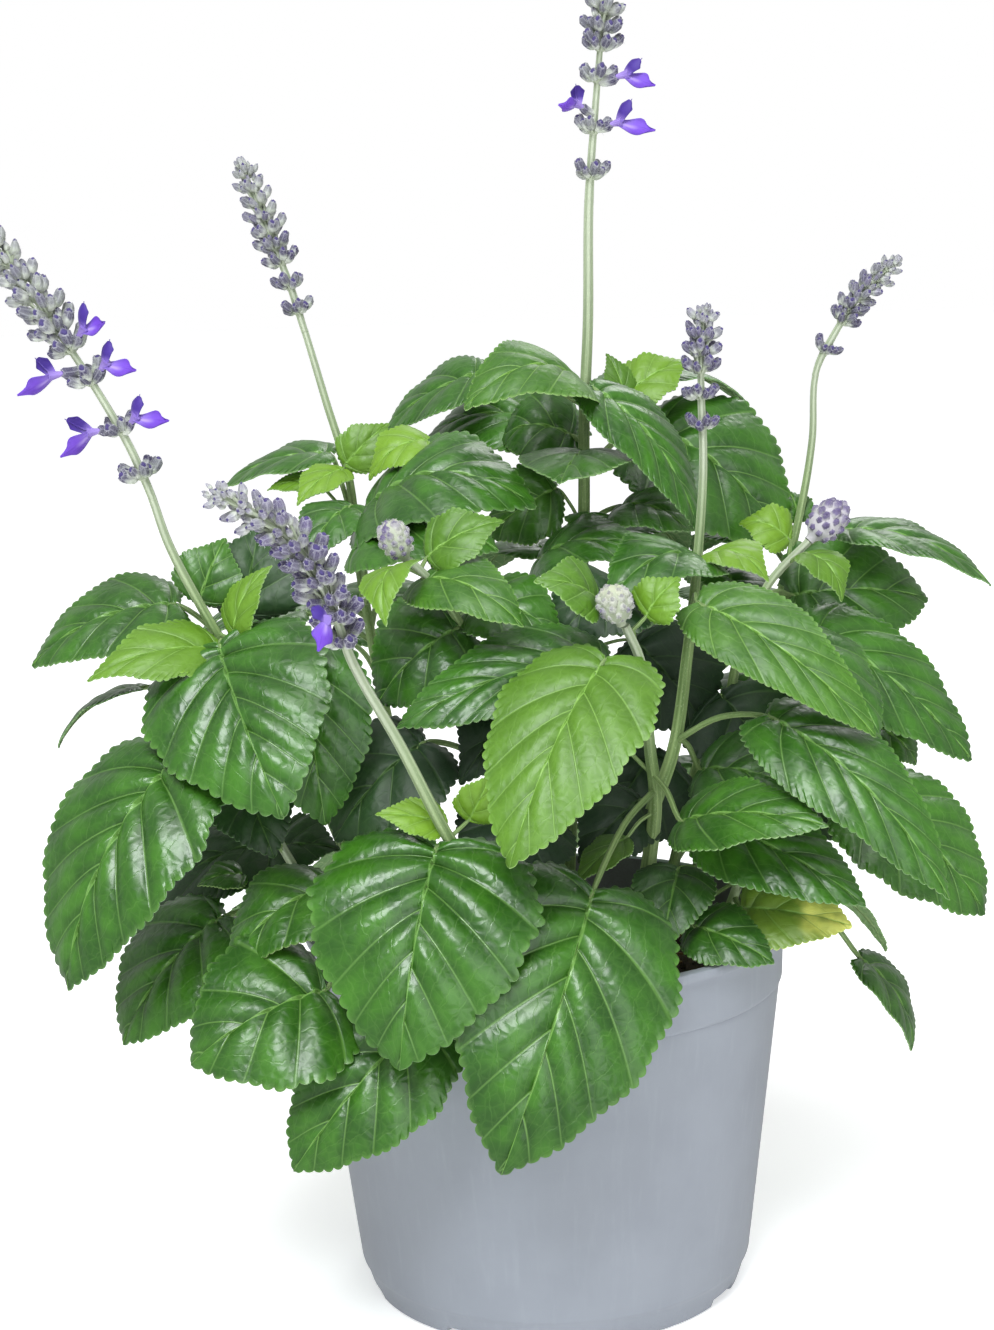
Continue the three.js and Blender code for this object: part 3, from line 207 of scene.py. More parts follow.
# leaves set round a stem: height, degrees from +X, length and rise of the petiole, length of the
# blade, fall of its tip, width, arch and form
SET_ROUND = {
    "left": (
        (190, 150, 22, 8, 42, 18, 34, 7, "middling"),
        (136, 140, 26, 8, 44, 30, 34, 7, "small"),
    ),
    "back_left": (
        (228, 82, 22, 8, 42, 10, 34, 7, "middling"),
        (232, 170, 22, 8, 42, 16, 34, 7, "middling"),
    ),
    "back": (
        (214, 75, 26, 12, 46, 14, 38, 7, "middling"),
        (244, 120, 24, 8, 46, 14, 36, 7, "middling"),
        (250, 55, 24, 8, 46, 14, 34, 7, "middling"),
    ),
    "right_back": (
        (160, 350, 22, 8, 46, 22, 36, 7, "middling"),
        (226, 48, 20, 8, 44, 16, 34, 7, "middling"),
        (244, 120, 18, 8, 40, 10, 32, 6, "middling"),
    ),
    "right": (
        (130, 22, 34, 8, 44, 34, 36, 7, "small"),
    ),
    "low_left": (
        (132, 172, 24, 8, 44, 34, 36, 7, "small"),
    ),
    "low_back_left": (
        (150, 100, 26, 12, 52, 26, 40, 8, "middling"),
        (152, 150, 28, 14, 54, 26, 40, 8, "middling"),
        (175, 190, 30, 12, 52, 22, 40, 8, "middling"),
        (200, 118, 26, 12, 50, 18, 40, 8, "middling"),
        (214, 165, 28, 12, 52, 20, 40, 8, "middling"),
        (132, 128, 26, 8, 44, 34, 36, 7, "small"),
    ),
    "low_back": (
        (150, 62, 26, 12, 52, 26, 40, 8, "middling"),
        (176, 92, 28, 14, 54, 20, 40, 8, "middling"),
        (205, 60, 24, 12, 48, 16, 38, 8, "middling"),
        (212, 125, 24, 12, 48, 16, 38, 8, "middling"),
        (131, 96, 24, 8, 44, 34, 36, 7, "small"),
    ),
    "low_back_right": (
        (150, 78, 26, 12, 50, 26, 40, 8, "middling"),
        (152, 28, 28, 12, 54, 28, 40, 8, "middling"),
        (178, 50, 28, 14, 54, 20, 40, 8, "middling"),
        (200, 12, 26, 12, 50, 20, 40, 8, "middling"),
        (212, 78, 24, 12, 46, 14, 38, 8, "middling"),
        (130, 54, 26, 8, 44, 34, 36, 7, "small"),
    ),
}

# outlines as (part of the length, part of the half width), from the heart of the base to the tip
FORMS = {
    "broad": ((-0.07, 0.36), (0.02, 0.8), (0.16, 0.92), (0.28, 1.02), (0.43, 0.93), (0.58, 0.86),
              (0.72, 0.62), (0.86, 0.4)),
    "middling": ((-0.05, 0.45), (0.12, 0.93), (0.38, 1.0), (0.6, 0.74), (0.8, 0.48)),
    "small": ((0.02, 0.45), (0.2, 0.95), (0.4, 0.88), (0.52, 0.9), (0.76, 0.42)),
}
# age of a leaf as (youth, fading, painted shade)
AGES = {
    "dark": (0.0, 0.0, 0.0),
    "mature": (0.22, 0.0, 0.0),
    "young": (0.85, 0.0, 0.0),
    "olive": (0.35, 0.35, 0.2),
    "pale": (0.3, 0.1, 0.3),
    "yellowing": (0.5, 1.0, 0.0),
    "shaded": (0.05, 0.0, 0.75),
}
PETIOLE_RADIUS = {"broad": 1.1, "middling": 1.0, "small": 0.7}
PETIOLE_RISE = 0.1
STRAIGHT_PETIOLE = 12
SET_ROUND_CUP = -0.06
SET_ROUND_TILT = 0.3

# ---- flowers -----------------------------------------------------------------------------------
# spikes: route of the rachis, lone lowest whorls, start of the dense part (along it), size
SPIKES = {
    "left": (((-124.1, -42, 286), (-126.3, -42.5, 292.3), (-131.4, -42.5, 304.6), (-146.7, -42, 332.4),
              (-164.4, -40, 359.2), (-174.3, -40, 372.6)), (6, 22, 40), 52, 1.1),
    "back_left": (((-79.6, 49, 333.9), (-83.8, 51, 348.5), (-90.8, 53, 367.8), (-100, 55, 393)),
                  (5, 14), 23, 0.92),
    "back": (((21.3, 20, 376.1), (24.3, 20, 408), (27.2, 20, 434), (29.6, 20, 448)),
             (6, 21, 38), 48.5, 1.0),
    "main": (((56.3, -8, 292.9), (55.9, -8, 310), (56.2, -8, 325), (57.6, -8, 339.4)),
             (6, 16), 25, 0.92),
    "right_back": (((102.4, 54, 312.6), (108.1, 54, 324), (117.4, 54, 337.9), (132.3, 54, 351.8)),
                   (7,), 19, 0.82),
    "front_left": (((-57.8, -110, 242.2), (-63.2, -116, 261.2), (-73.1, -122, 280.4),
                    (-94.1, -130, 296.2)), (6,), 14, 1.12),
}
# how lilac the calyces of a spike are, against grey-green
SPIKE_LILAC = {"left": 0.15, "back_left": 0.4, "back": 0.15, "main": 0.75, "right_back": 0.5,
               "front_left": 0.8}
# open flowers: spike, throat where the two lips part, tip of the hood, tip of the lower lip
OPEN_FLOWERS = (
    ("left", (-141.8, -46, 340), (-141.5, -47, 347.8), (-134.2, -50, 341.8)),
    ("left", (-135.5, -46, 329.1), (-134.2, -46, 335.7), (-125.3, -50, 326.3)),
    ("left", (-153.5, -46, 325.2), (-157, -47, 331.1), (-163.6, -50, 319.5)),
    ("left", (-127, -46, 311.8), (-125.7, -46, 318.1), (-115.8, -50, 310.2)),
    ("left", (-142.5, -46, 306.9), (-148.8, -47, 311.6), (-151.2, -50, 299.6)),
    ("back", (35, 16, 416), (39.1, 15, 420.7), (44, 12, 411.6)),
    ("back", (17.1, 16, 407), (17.9, 15, 412.8), (11.3, 13, 406.4)),
    ("back", (32.4, 16, 400.4), (35.5, 15, 407.5), (43.8, 12, 397)),
    ("front_left", (-64, -125, 257.4), (-67.8, -126, 261.2), (-66.4, -129, 248.7)),
)
# how lilac each closed head is, against whitish green
HEAD_LILAC = {"front_centre": 0.5, "main": 0.2, "right": 1.0}
# closed heads: foot, top, radius
HEADS = {
    "front_centre": ((-43, -52.4, 265), (-49, -54, 277), 5.6),
    "main": ((24.4, -67.6, 244.8), (21, -71, 257), 6.0),
    "right": ((95.4, 13.2, 258.6), (107, 16, 270), 6.8),
}


# ---- curves and meshes -------------------------------------------------------------------------
SHORTEST_GAP = 1e-4


def row(*numbers):
    return np.array(numbers, dtype=float)


def unit(vector):
    return vector / np.linalg.norm(vector)


def unit_rows(vectors):
    return vectors / np.linalg.norm(vectors, axis=1, keepdims=True)


def smooth_curve(corners, per_span=16):
    """Points along the smooth curve through the corners, closer together than the corners are."""
    corners = np.asarray(corners, dtype=float)
    held = np.vstack([2 * corners[0] - corners[1], corners, 2 * corners[-1] - corners[-2]])
    t = np.linspace(0, 1, per_span, endpoint=False)[:, None]
    spans = []
    for p0, p1, p2, p3 in zip(held, held[1:], held[2:], held[3:]):
        gap0, gap1, gap2 = (max(np.linalg.norm(b - a) ** 0.5, SHORTEST_GAP)
                            for a, b in ((p0, p1), (p1, p2), (p2, p3)))
        leave = ((p1 - p0) / gap0 - (p2 - p0) / (gap0 + gap1) + (p2 - p1) / gap1) * gap1
        arrive = ((p2 - p1) / gap1 - (p3 - p1) / (gap1 + gap2) + (p3 - p2) / gap2) * gap1
        spans.append((2 * t**3 - 3 * t**2 + 1) * p1 + (t**3 - 2 * t**2 + t) * leave
                     + (3 * t**2 - 2 * t**3) * p2 + (t**3 - t**2) * arrive)
    return np.vstack(spans + [corners[-1:]])


def lengths_along(curve):
    return np.concatenate([[0.0], np.cumsum(np.linalg.norm(np.diff(curve, axis=0), axis=1))])


def at_lengths(curve, wanted):
    """The curve's points at the wanted distances along it."""
    measured = lengths_along(curve)
    return np.stack([np.interp(wanted, measured, values) for values in curve.T], axis=-1)


def tangent_at(curve, distance, reach=0.5):
    total = lengths_along(curve)[-1]
    ends = at_lengths(curve, row(max(distance - reach, 0), min(distance + reach, total)))
    return unit(ends[1] - ends[0])


def on_route(route, height):
    """The point of a stem's route at a height."""
    for low, high in zip(route, route[1:]):
        if height <= high[2] or high is route[-1]:
            part = (height - low[2]) / (high[2] - low[2])
            return row(*low) * (1 - part) + row(*high) * part


def smooth_step(low, high, value):
    part = np.clip((value - low) / (high - low), 0, 1)
    return part * part * (3 - 2 * part)


def square_to(vector, axis):
    return unit(vector - axis * np.dot(vector, axis))


def spokes(axis):
    """Gives, for an angle, the way that stands square to the axis at that angle."""
    side = square_to(row(1, 0, 0), axis)
    across = np.cross(axis, side)
    return lambda angle: math.cos(angle) * side + math.sin(angle) * across


NOTES = ("lay", "grain", "tone")


class Shape:
    """Points in mm, faces with a material number, and notes at each point for the finishes."""

    def __init__(self):
        self.points = []
        self.notes = {name: [] for name in NOTES}
        self.faces = []
        self.count = 0

    def add(self, points, faces, slot=0, **notes):
        points = np.asarray(points, dtype=float)
        for name in NOTES:
            note = np.asarray(notes.get(name, (0.0, 0.0, 0.0)), dtype=float)
            self.notes[name].append(np.broadcast_to(note, points.shape))
        self.points.append(points)
        for group in faces if isinstance(faces, (list, tuple)) else [faces]:
            group_slot = slot
            if isinstance(group, tuple):
                group, group_slot = group
            if len(group):
                self.faces.append((np.asarray(group, dtype=np.int64) + self.count, group_slot))
        self.count += len(points)

    def make(self, name, finishes, crease=50.0):
        """The shape as a Blender object in metres."""
        mesh = bpy.data.meshes.new(name)
        points = np.vstack(self.points) * MM
        mesh.vertices.add(len(points))
        mesh.vertices.foreach_set("co", points.astype(np.float32).ravel())
        corners = np.concatenate([group.ravel() for group, _ in self.faces])
        sizes = np.concatenate([np.full(len(group), group.shape[1]) for group, _ in self.faces])
        slots = np.concatenate([np.full(len(group), slot) for group, slot in self.faces])
        mesh.loops.add(len(corners))
        mesh.loops.foreach_set("vertex_index", corners.astype(np.int32))
        mesh.polygons.add(len(sizes))
        starts = np.concatenate([[0], np.cumsum(sizes)[:-1]])
        mesh.polygons.foreach_set("loop_start", starts.astype(np.int32))
        mesh.polygons.foreach_set("material_index", slots.astype(np.int32))
        mesh.polygons.foreach_set("use_smooth", np.ones(len(sizes), dtype=bool))
        for note, parts in self.notes.items():
            layer = mesh.attributes.new(note, "FLOAT_VECTOR", "POINT")
            layer.data.foreach_set("vector", np.vstack(parts).astype(np.float32).ravel())
        for finish in finishes:
            mesh.materials.append(finish)
        mesh.update(calc_edges=True)
        mesh.validate()
        mesh.set_sharp_from_angle(angle=math.radians(crease))
        piece = bpy.data.objects.new(name, mesh)
        bpy.context.scene.collection.objects.link(piece)
        return piece


def side_by_side(*values):
    """Values as the columns of a table, where a single number fills its whole column."""
    return np.stack(np.broadcast_arrays(*values), axis=-1)


def grid_faces(rows, columns, closed=False):
    """Quads of a grid of points, whose last column meets the first where it is closed."""
    i = np.arange(rows - 1)[:, None]
    j = np.arange(columns if closed else columns - 1)
    following = (j + 1) % columns
    quads = side_by_side(i * columns + j, i * columns + following,
                         (i + 1) * columns + following, (i + 1) * columns + j)
    return quads.reshape(-1, 4)


def closed_skin(rings, foot, top):
    """Points and faces of a closed skin over rings of points, with one point at each end."""
    count, sides = len(rings), len(rings[0])
    ring = np.arange(sides)
    following = (ring + 1) % sides
    last = (count - 1) * sides
    ends = np.vstack([side_by_side(count * sides, following, ring),
                      side_by_side(count * sides + 1, last + ring, last + following)])
    return np.vstack([*rings, foot, top]), [grid_faces(count, sides, closed=True), ends]


def tube(path, radii, sides, squareness=0.0):
    """A closed tube along a path: its points, its faces, and how far along and round each is."""
    path = np.asarray(path, dtype=float)
    count = len(path)
    ways = unit_rows(np.gradient(path, axis=0))
    side = square_to(row(1, 0, 0) if abs(ways[0][0]) < 0.8 else row(0, 1, 0), ways[0])
    angles = 2 * np.pi * (np.arange(sides) + 0.5) / sides
    swell = 1 + squareness * np.cos(4 * angles)
    rings = []
    for centre, way, radius in zip(path, ways, np.broadcast_to(radii, (count,))):
        side = square_to(side, way)
        across = np.cross(way, side)
        rings.append(centre + radius * swell[:, None] * (np.cos(angles)[:, None] * side
                                                          + np.sin(angles)[:, None] * across))
    points, groups = closed_skin(rings, path[0], path[-1])
    parts = np.append(np.repeat(np.linspace(0, 1, count), sides), [0, 1])
    around = np.append(np.tile(angles, count), [0, 0])
    return points, groups, parts, around


def open_edges(faces):
    """Edges of a sheet that have a face on one side only, as pairs of point numbers."""
    pairs = np.vstack([side_by_side(group[:, k], group[:, (k + 1) % group.shape[1]])
                       for group in faces for k in range(group.shape[1])])
    span = int(pairs.max()) + 1
    forward = pairs[:, 0] * span + pairs[:, 1]
    back = pairs[:, 1] * span + pairs[:, 0]
    return pairs[~np.isin(forward, back)]


def two_sided(top, under, faces, top_slot=0, under_slot=0):
    """A sheet with thickness: its points, and the faces of both sides and of the rim between."""
    count = len(top)
    rim = open_edges(faces)
    wall = side_by_side(rim[:, 1], rim[:, 0], rim[:, 0] + count, rim[:, 1] + count)
    groups = [(group, top_slot) for group in faces]
    groups += [(group[:, ::-1] + count, under_slot) for group in faces]
    groups.append((wall, under_slot))
    return np.vstack([top, under]), groups


# ---- blades ------------------------------------------------------------------------------------
THICKNESS = 0.45
# sizes by the width of the blade: (mm at no width, mm for each mm of width)
TOOTH_LENGTH = (0.9, 0.052)
RUNG_SPACING = (3.4, 0.045)
QUILT_HEIGHT = (0.12, 0.042)
MIDRIB_DEPTH = (0.25, 0.006)
MIDRIB_SPREAD = (0.4, 0.02)
# sizes for each mm of width
HALF_SWELL = 0.03
EDGE_WAVE = 0.012
EDGE_TURN = 0.016
RIB_THICKNESS = 0.004
# where the outline starts: part of the length, distance from the midrib
BASE_CORNER = (-0.03, 0.9)
TOOTH_LIMITS = (1.4, 4.4)
FEWEST_TEETH = 7
TOOTH_ROUNDNESS = 0.7
TOOTH_MIDDLE = 0.55
TOOTH_UNEVENNESS = 0.25
TOOTH_BEAT = 3.7
TOOTH_DEPTH = 0.44
TOOTH_CUP = 0.07
# mesh of a blade: columns run out from the midrib, rows run along it
COLUMNS_PER_TOOTH = 3
ROW_SPACING = 2.4
ROW_LIMITS = (6, 15)
FIRST_ROW = 0.014
# how far the columns sweep towards the tip, and how the side veins share them out
SWEEP_START = 0.12
SWEEP_POWER = 4.0
VEIN_SPACING = 10.0
VEIN_LIMITS = (4, 7)
VEIN_SHARE = 0.6
VEIN_BOW = 0.05
VEIN_WANDER = 0.1
HAND_SHIFT = 0.37
CROSS_QUILT = 0.12
YOUNG_FLATNESS = 0.4
SMALL_YOUTH = 0.1
MIDRIB_SPOTS = np.array([0.1, 0.25, 0.4, 0.55, 0.7, 0.85, 0.95])
# the heart of the plant, where leaves get painted shade: distance from the axis, height, how dark
INNER_REACH = (35, 85)
INNER_HEIGHT = (195, 250)
INNER_SHADE = 0.8
# stems are a little slimmer than the solids of the part, and square
STEM_SHARE = 0.86
STEM_STEPS = 14
STEM_SIDES = 16
STEM_SQUARENESS = 0.07
STEM_SLOT = 2


@lru_cache(maxsize=None)
def blade_faces(columns, rows):
    """Faces of a blade's upper side: a grid on each hand, a rim twice as fine, and a tip."""
    per_hand = (rows - 1) * columns + 2 * columns
    tip = columns + 2 * per_hand
    groups = []
    for hand in (0, 1):
        start = columns + hand * per_hand
        grid = np.vstack([np.arange(columns)] + [start + r * columns + np.arange(columns)
                                                 for r in range(rows - 1)])
        rim = np.append(start + (rows - 1) * columns + np.arange(2 * columns), tip)
        inner = grid[-1]
        quads = side_by_side(grid[:-1, :-1], grid[1:, :-1], grid[1:, 1:], grid[:-1, 1:])
        quads = quads.reshape(-1, 4)
        fan = side_by_side(grid[:-1, -1], grid[1:, -1], tip)
        first = side_by_side(inner, rim[0:-1:2], rim[1::2])
        middle = side_by_side(inner[:-1], rim[1:-2:2], inner[1:])
        last = side_by_side(inner[1:], rim[1:-2:2], rim[2:-1:2])
        triangles = np.vstack([fan, first, middle, last, (inner[-1], rim[-2], tip)])
        if hand == 1:
            quads, triangles = quads[:, ::-1], triangles[:, ::-1]
        groups += [quads, triangles]
    return groups


def inner_shade(points):
    """How deep in the heart of the plant points lie, from 0 outside to 1 inside, for the painted shade
    there.
    """
    reach = np.hypot(points[:, 0], points[:, 1])
    return (1 - smooth_step(*INNER_REACH, reach)) * (1 - smooth_step(*INNER_HEIGHT, points[:, 2]))


def cell_bulge(phase, power):
    """0 on the vein lines and 1 halfway between them."""
    return 1 - np.abs(2 * np.mod(phase, 1) - 1) ** power


def by_width(pair, width):
    """A size of a blade that grows with its width: (mm at no width, mm for each mm of width)."""
    return pair[0] + pair[1] * width


def ways_of(base, tip, facing):
    """The length of a blade and its three ways: along it, out of its upper side, and across it."""
    along = unit(tip - base)
    up = square_to(facing, along)
    return np.linalg.norm(tip - base), along, up, np.cross(along, up)


def rims_of(outline, tooth, teeth, wave_start):
    """The smooth rim of a blade at each column, and its toothed rim at twice as many places."""
    columns = teeth * COLUMNS_PER_TOOTH
    total = lengths_along(outline)[-1]
    w = np.arange(2 * columns) / (2 * columns)
    smooth = at_lengths(outline, w * total)
    run = np.gradient(smooth, axis=0)
    run /= np.maximum(np.linalg.norm(run, axis=1, keepdims=True), 1e-6)
    outwards = side_by_side(-run[:, 1], run[:, 0])
    swing = np.abs(np.sin(np.pi * teeth * w)) ** TOOTH_ROUNDNESS - TOOTH_MIDDLE
    uneven = 1 + TOOTH_UNEVENNESS * np.sin(2 * np.pi * teeth * w / TOOTH_BEAT + wave_start)
    depth = TOOTH_DEPTH * tooth * uneven * smooth_step(0.0, 0.06, w) * (1 - 0.45 * w)
    toothed = smooth + outwards * (swing * depth)[:, None]
    return at_lengths(outline, np.arange(columns) / columns * total), toothed


def add_blade(shape, leaf, chance):
    """The toothed blade of one leaf, quilted between sunken veins; gives its youth and its seed."""
    _, base, tip, width, facing, arch, cup, form, age = leaf
    length, along, up, side = ways_of(base, tip, facing)
    half_width = width / 2
    corners = [(part * length, half * half_width) for part, half in FORMS[form]]
    outline = smooth_curve([(BASE_CORNER[0] * length, BASE_CORNER[1])] + corners + [(length, 0.0)])
    tooth = np.clip(by_width(TOOTH_LENGTH, width), *TOOTH_LIMITS) * chance.uniform(0.92, 1.08)
    teeth = max(FEWEST_TEETH, round(lengths_along(outline)[-1] / tooth))
    columns = teeth * COLUMNS_PER_TOOTH
    rows = int(np.clip(round(half_width / ROW_SPACING), *ROW_LIMITS))
    veins = round(np.clip(length / VEIN_SPACING, *VEIN_LIMITS)) + chance.uniform(-0.2, 0.2)
    rungs = half_width / by_width(RUNG_SPACING, width)
    youth, fading, painted_shade = AGES[age]
    relief = by_width(QUILT_HEIGHT, width) * (1 - YOUNG_FLATNESS * youth)
    wave_turns, wave_start = chance.uniform(1.6, 2.6), chance.uniform(0, 6.28)

    def lay_out(w, q, rim, hand):
        """One row of points from the midrib (q 0) to the rim (q 1), with what the veins need."""
        bow = VEIN_BOW * length * 4 * q * (1 - q) * smooth_step(0.0, 0.35, w) * (1 - w) ** 0.8
        midrib = length * (SWEEP_START * w + (1 - SWEEP_START) * w**SWEEP_POWER)
        phase = veins * (VEIN_SHARE * w + (1 - VEIN_SHARE) * w**SWEEP_POWER)
        phase = phase + VEIN_WANDER * np.sin(9 * w + wave_start + hand) * q
        phase = phase + (HAND_SHIFT if hand > 0 else 0) * np.minimum(1, q / FIRST_ROW)
        along_blade = midrib * (1 - q) + rim[:, 0] * q - bow
        return side_by_side(along_blade, rim[:, 1] * q, phase, q * rungs, q, w, hand)

    w_inner = np.arange(columns) / columns
    w_rim = np.arange(2 * columns) / (2 * columns)
    rim_inner, rim_toothed = rims_of(outline, tooth, teeth, wave_start)
    pieces = [lay_out(w_inner, 0.0, rim_inner, 0)]
    for hand in (1, -1):
        for r in range(rows - 1):
            q = FIRST_ROW + (1 - FIRST_ROW) * r / (rows - 1)
            pieces.append(lay_out(w_inner, q, rim_inner, hand))
        pieces.append(lay_out(w_rim, 1.0, rim_toothed, hand))
    pieces.append(row(length, 0, veins, 0, 0, 1, 1))
    x, y, phase, rung, q, w, hand = np.ascontiguousarray(np.vstack(pieces).T)

    part = x / length
    cross_quilt = 1 - CROSS_QUILT + CROSS_QUILT * cell_bulge(rung + 0.5 * np.floor(phase), 2.0)
    quilt = cell_bulge(phase, 1.7) * cross_quilt
    tooth_lift = TOOTH_CUP * tooth * np.abs(np.sin(np.pi * teeth * w))
    lift = arch * 4 * part * (1 - part) + cup * y
    from_base = 0.2 + 0.8 * smooth_step(0.02, 0.4, w)
    lift += relief * quilt * (1 - 0.6 * q**3) * (1 - 0.6 * part) * from_base
    lift += tooth_lift * smooth_step(0.75, 1.0, q) * (1 - 0.5 * part)
    lift += HALF_SWELL * width * np.sin(np.pi * q) * (1 - part)
    lift -= by_width(MIDRIB_DEPTH, width) * np.exp(-((y / by_width(MIDRIB_SPREAD, width)) ** 2))
    lift += EDGE_WAVE * width * q**3 * np.sin(2 * np.pi * wave_turns * part + wave_start + hand)
    lift -= EDGE_TURN * width * q**5
    rib = 1 - smooth_step(0.0, 0.35, cell_bulge(phase, 2.6))
    thick = THICKNESS + RIB_THICKNESS * width * rib * (1 - q)

    def place(lift_now):
        return base + x[:, None] * along + (hand * y)[:, None] * side + lift_now[:, None] * up

    points, groups = two_sided(place(lift), place(lift - thick), blade_faces(columns, rows), 0, 1)
    youth += SMALL_YOUTH if form == "small" else 0.0
    youth = np.clip(youth + chance.uniform(-0.08, 0.08), 0, 1)
    seed = chance.uniform(0, 60)
    # the second note of tone is the fading less the painted shade, with more painted shade in the heart
    # of the plant
    tone = np.tile(side_by_side(youth, fading - painted_shade, part), (2, 1))
    tone[:, 1] = np.maximum(tone[:, 1] - INNER_SHADE * inner_shade(points), -1)
    shape.add(points, groups, lay=np.tile(side_by_side(phase, rung, q), (2, 1)),
              grain=np.tile(side_by_side(x, hand * y, seed), (2, 1)), tone=tone)
    return youth, seed


def add_petiole(shape, start, leaf, youth, seed):
    """The petiole of a leaf from its stem, which runs on under the blade as the midrib."""
    _, base, tip, width, facing, arch, _, form, _ = leaf
    length, along, up, _ = ways_of(base, tip, facing)
    stretch = np.linalg.norm(base - start)
    bend = (start + base) / 2
    bend[2] += stretch * PETIOLE_RISE
    radius = PETIOLE_RADIUS[form]
    taper = radius * (1 - MIDRIB_SPOTS) ** 0.8 * 0.7
    dip = by_width(MIDRIB_DEPTH, width) + THICKNESS + 0.2 * taper
    lift = (arch * 4 * MIDRIB_SPOTS * (1 - MIDRIB_SPOTS) - dip)[:, None]
    midrib = base + (MIDRIB_SPOTS * length)[:, None] * along + lift * up
    middle = [bend] if form == "broad" or stretch > STRAIGHT_PETIOLE else []
    path = smooth_curve(np.vstack([start] + middle + [base - 0.35 * up, midrib]), 5)
    spot = lengths_along(path)
    blade_start = spot[-1] * (1 - length / (spot[-1] + 1e-6))
    radii = np.where(spot < blade_start, radius * (1.1 - 0.2 * spot / max(blade_start, 1e-3)),
                     0.75 * radius * np.clip((spot[-1] - spot) / length, 0.05, 1) ** 0.8)
    points, groups, parts, around = tube(path, radii, 6 if form == "small" else 8)
    shape.add(points, groups, STEM_SLOT, grain=side_by_side(parts * spot[-1], around, seed),
              tone=side_by_side(youth, parts, 0))


def add_stem(shape, route, radii, onwards, chance):
    """A square stem along its route, thicker where it leaves the mix."""
    held = route if onwards is None else route + (onwards,)
    curve = smooth_curve(held, STEM_STEPS)[:STEM_STEPS * (len(route) - 1) + 1]
    spot = lengths_along(curve)
    share = np.interp(curve[:, 2], [route[0][2], route[-1][2]], [0, 1])
    thickness = radii[0] + (radii[1] - radii[0]) * share
    points, groups, parts, around = tube(curve, thickness * STEM_SHARE, STEM_SIDES, STEM_SQUARENESS)
    shape.add(points, groups, STEM_SLOT, tone=side_by_side(0.35 + 0.4 * parts, parts, 1),
              grain=side_by_side(parts * spot[-1], around, chance.uniform(0, 60)))


def leaves_of(stem):
    """Each leaf of a stem: height, base, tip, width, facing, arch, cup, form and age."""
    for height, base, tip, width, facing, *rest in LEAVES.get(stem, ()):
        yield height, row(*base), row(*tip), width, row(*facing), *rest
    for height, degrees, petiole, rise, length, fall, width, arch, form in SET_ROUND.get(stem, ()):
        angle = math.radians(degrees)
        out = row(math.cos(angle), math.sin(angle), 0)
        base = on_route(STEMS[stem][0], height) + out * petiole + row(0, 0, rise)
        tip = base + out * length - row(0, 0, fall)
        facing = row(out[0] * SET_ROUND_TILT, out[1] * SET_ROUND_TILT, 1)
        yield height, base, tip, width, facing, arch, SET_ROUND_CUP, form, "mature"


def leafy_stem(name, chance):
    shape = Shape()
    for stem in (name,) + FORKED_FROM.get(name, ()):
        route, radii = STEMS[stem]
        spike = SPIKES.get("main" if stem == "fork" else None if stem == "main" else stem)
        add_stem(shape, route, radii, spike and spike[0][1], chance)
        for leaf in leaves_of(stem):
            youth, seed = add_blade(shape, leaf, chance)
            add_petiole(shape, on_route(route, leaf[0]), leaf, youth, seed)
    return shape


# ---- flower spikes -----------------------------------------------------------------------------
WHORL_STEP = 6.0
TIP_SHRINK = 0.5
RACHIS_RADII = (1.42, 0.8)
CALYX_COUNT = 5
# the widest calyces of a whorl, shorter ones between them, and steep young ones within:
# where they stand between the widest, and their share of reach, lift and length
TIERS = ((0, 1.0, 1.0, 1.0), (0.5, 0.8, 0.7, 0.9), (0.25, 0.5, 1.5, 0.8))
LONE_TIERS = 2
LONE_SPREAD = 0.85
TIP_CALYCES = 3
STALK_REACH = 3
CALYX_STALK_RADII = (0.55, 0.5)
FLOWER_ROOM = 3.8
FLOWER_DROP = 3
CALYX_PART = 0.6

CALYX_REACH = 7.8
CALYX_LIFT = 5.2
CALYX_LENGTH = 5.9
# girths as a share of the length
CALYX_GIRTH = 0.56
OPEN_CALYX_GIRTH = 0.46
HEAD_CALYX_GIRTH = 0.78
CALYX_FLATNESS = 0.88
CALYX_RIBS = 0.09
CALYX_BOW = 0.06
CALYX_BUD_TOP = 1.06
OPENNESS_STEPS = 4
CLOSED = 0.25
LOBE_ANGLES = (90, 215, 325)
LOBE_SPREAD = 900
LOBE_LENGTH = 0.13
CALYX_SIDES = 10
# a calyx of length 1 along +Z: (height, radius, how much of the three lobes shows)
CALYX_RINGS = ((0.0, 0.14, 0), (0.05, 0.32, 0), (0.18, 0.48, 0), (0.4, 0.54, 0), (0.64, 0.51, 0.1),
               (0.84, 0.41, 0.5), (0.95, 0.27, 1), (0.91, 0.2, 0.3), (0.99, 0.17, 0), (1.04, 0.08, 0))
CALYX_FIRST_INNER = 7
HAIR_COUNT = 20
HAIR_REACH = 0.12
HAIR_RADIUS = 0.055
HAIR_ROOT = 0.3
HAIR_LEAN = 0.6

# petals: half widths as (part of the length, half width)
HOOD_WIDTHS = ((0, 1.2), (0.2, 1.7), (0.5, 2.2), (0.76, 2.5), (0.9, 2.2), (1.0, 1.3))
LIP_WIDTHS = ((0, 1.2), (0.2, 2.0), (0.36, 3.0), (0.52, 3.7), (0.66, 3.2), (0.78, 1.9), (0.9, 1.3),
              (1.0, 0.5))
PETAL_SHEET = 0.28
PETAL_STEPS = 16
PETAL_SPREAD = 10
PETAL_TURN = 0.9
FACING_TURN = {"front_left": 1.5}
HOOD_TURN = 0.35
STYLE_RADII = (0.22, 0.14)


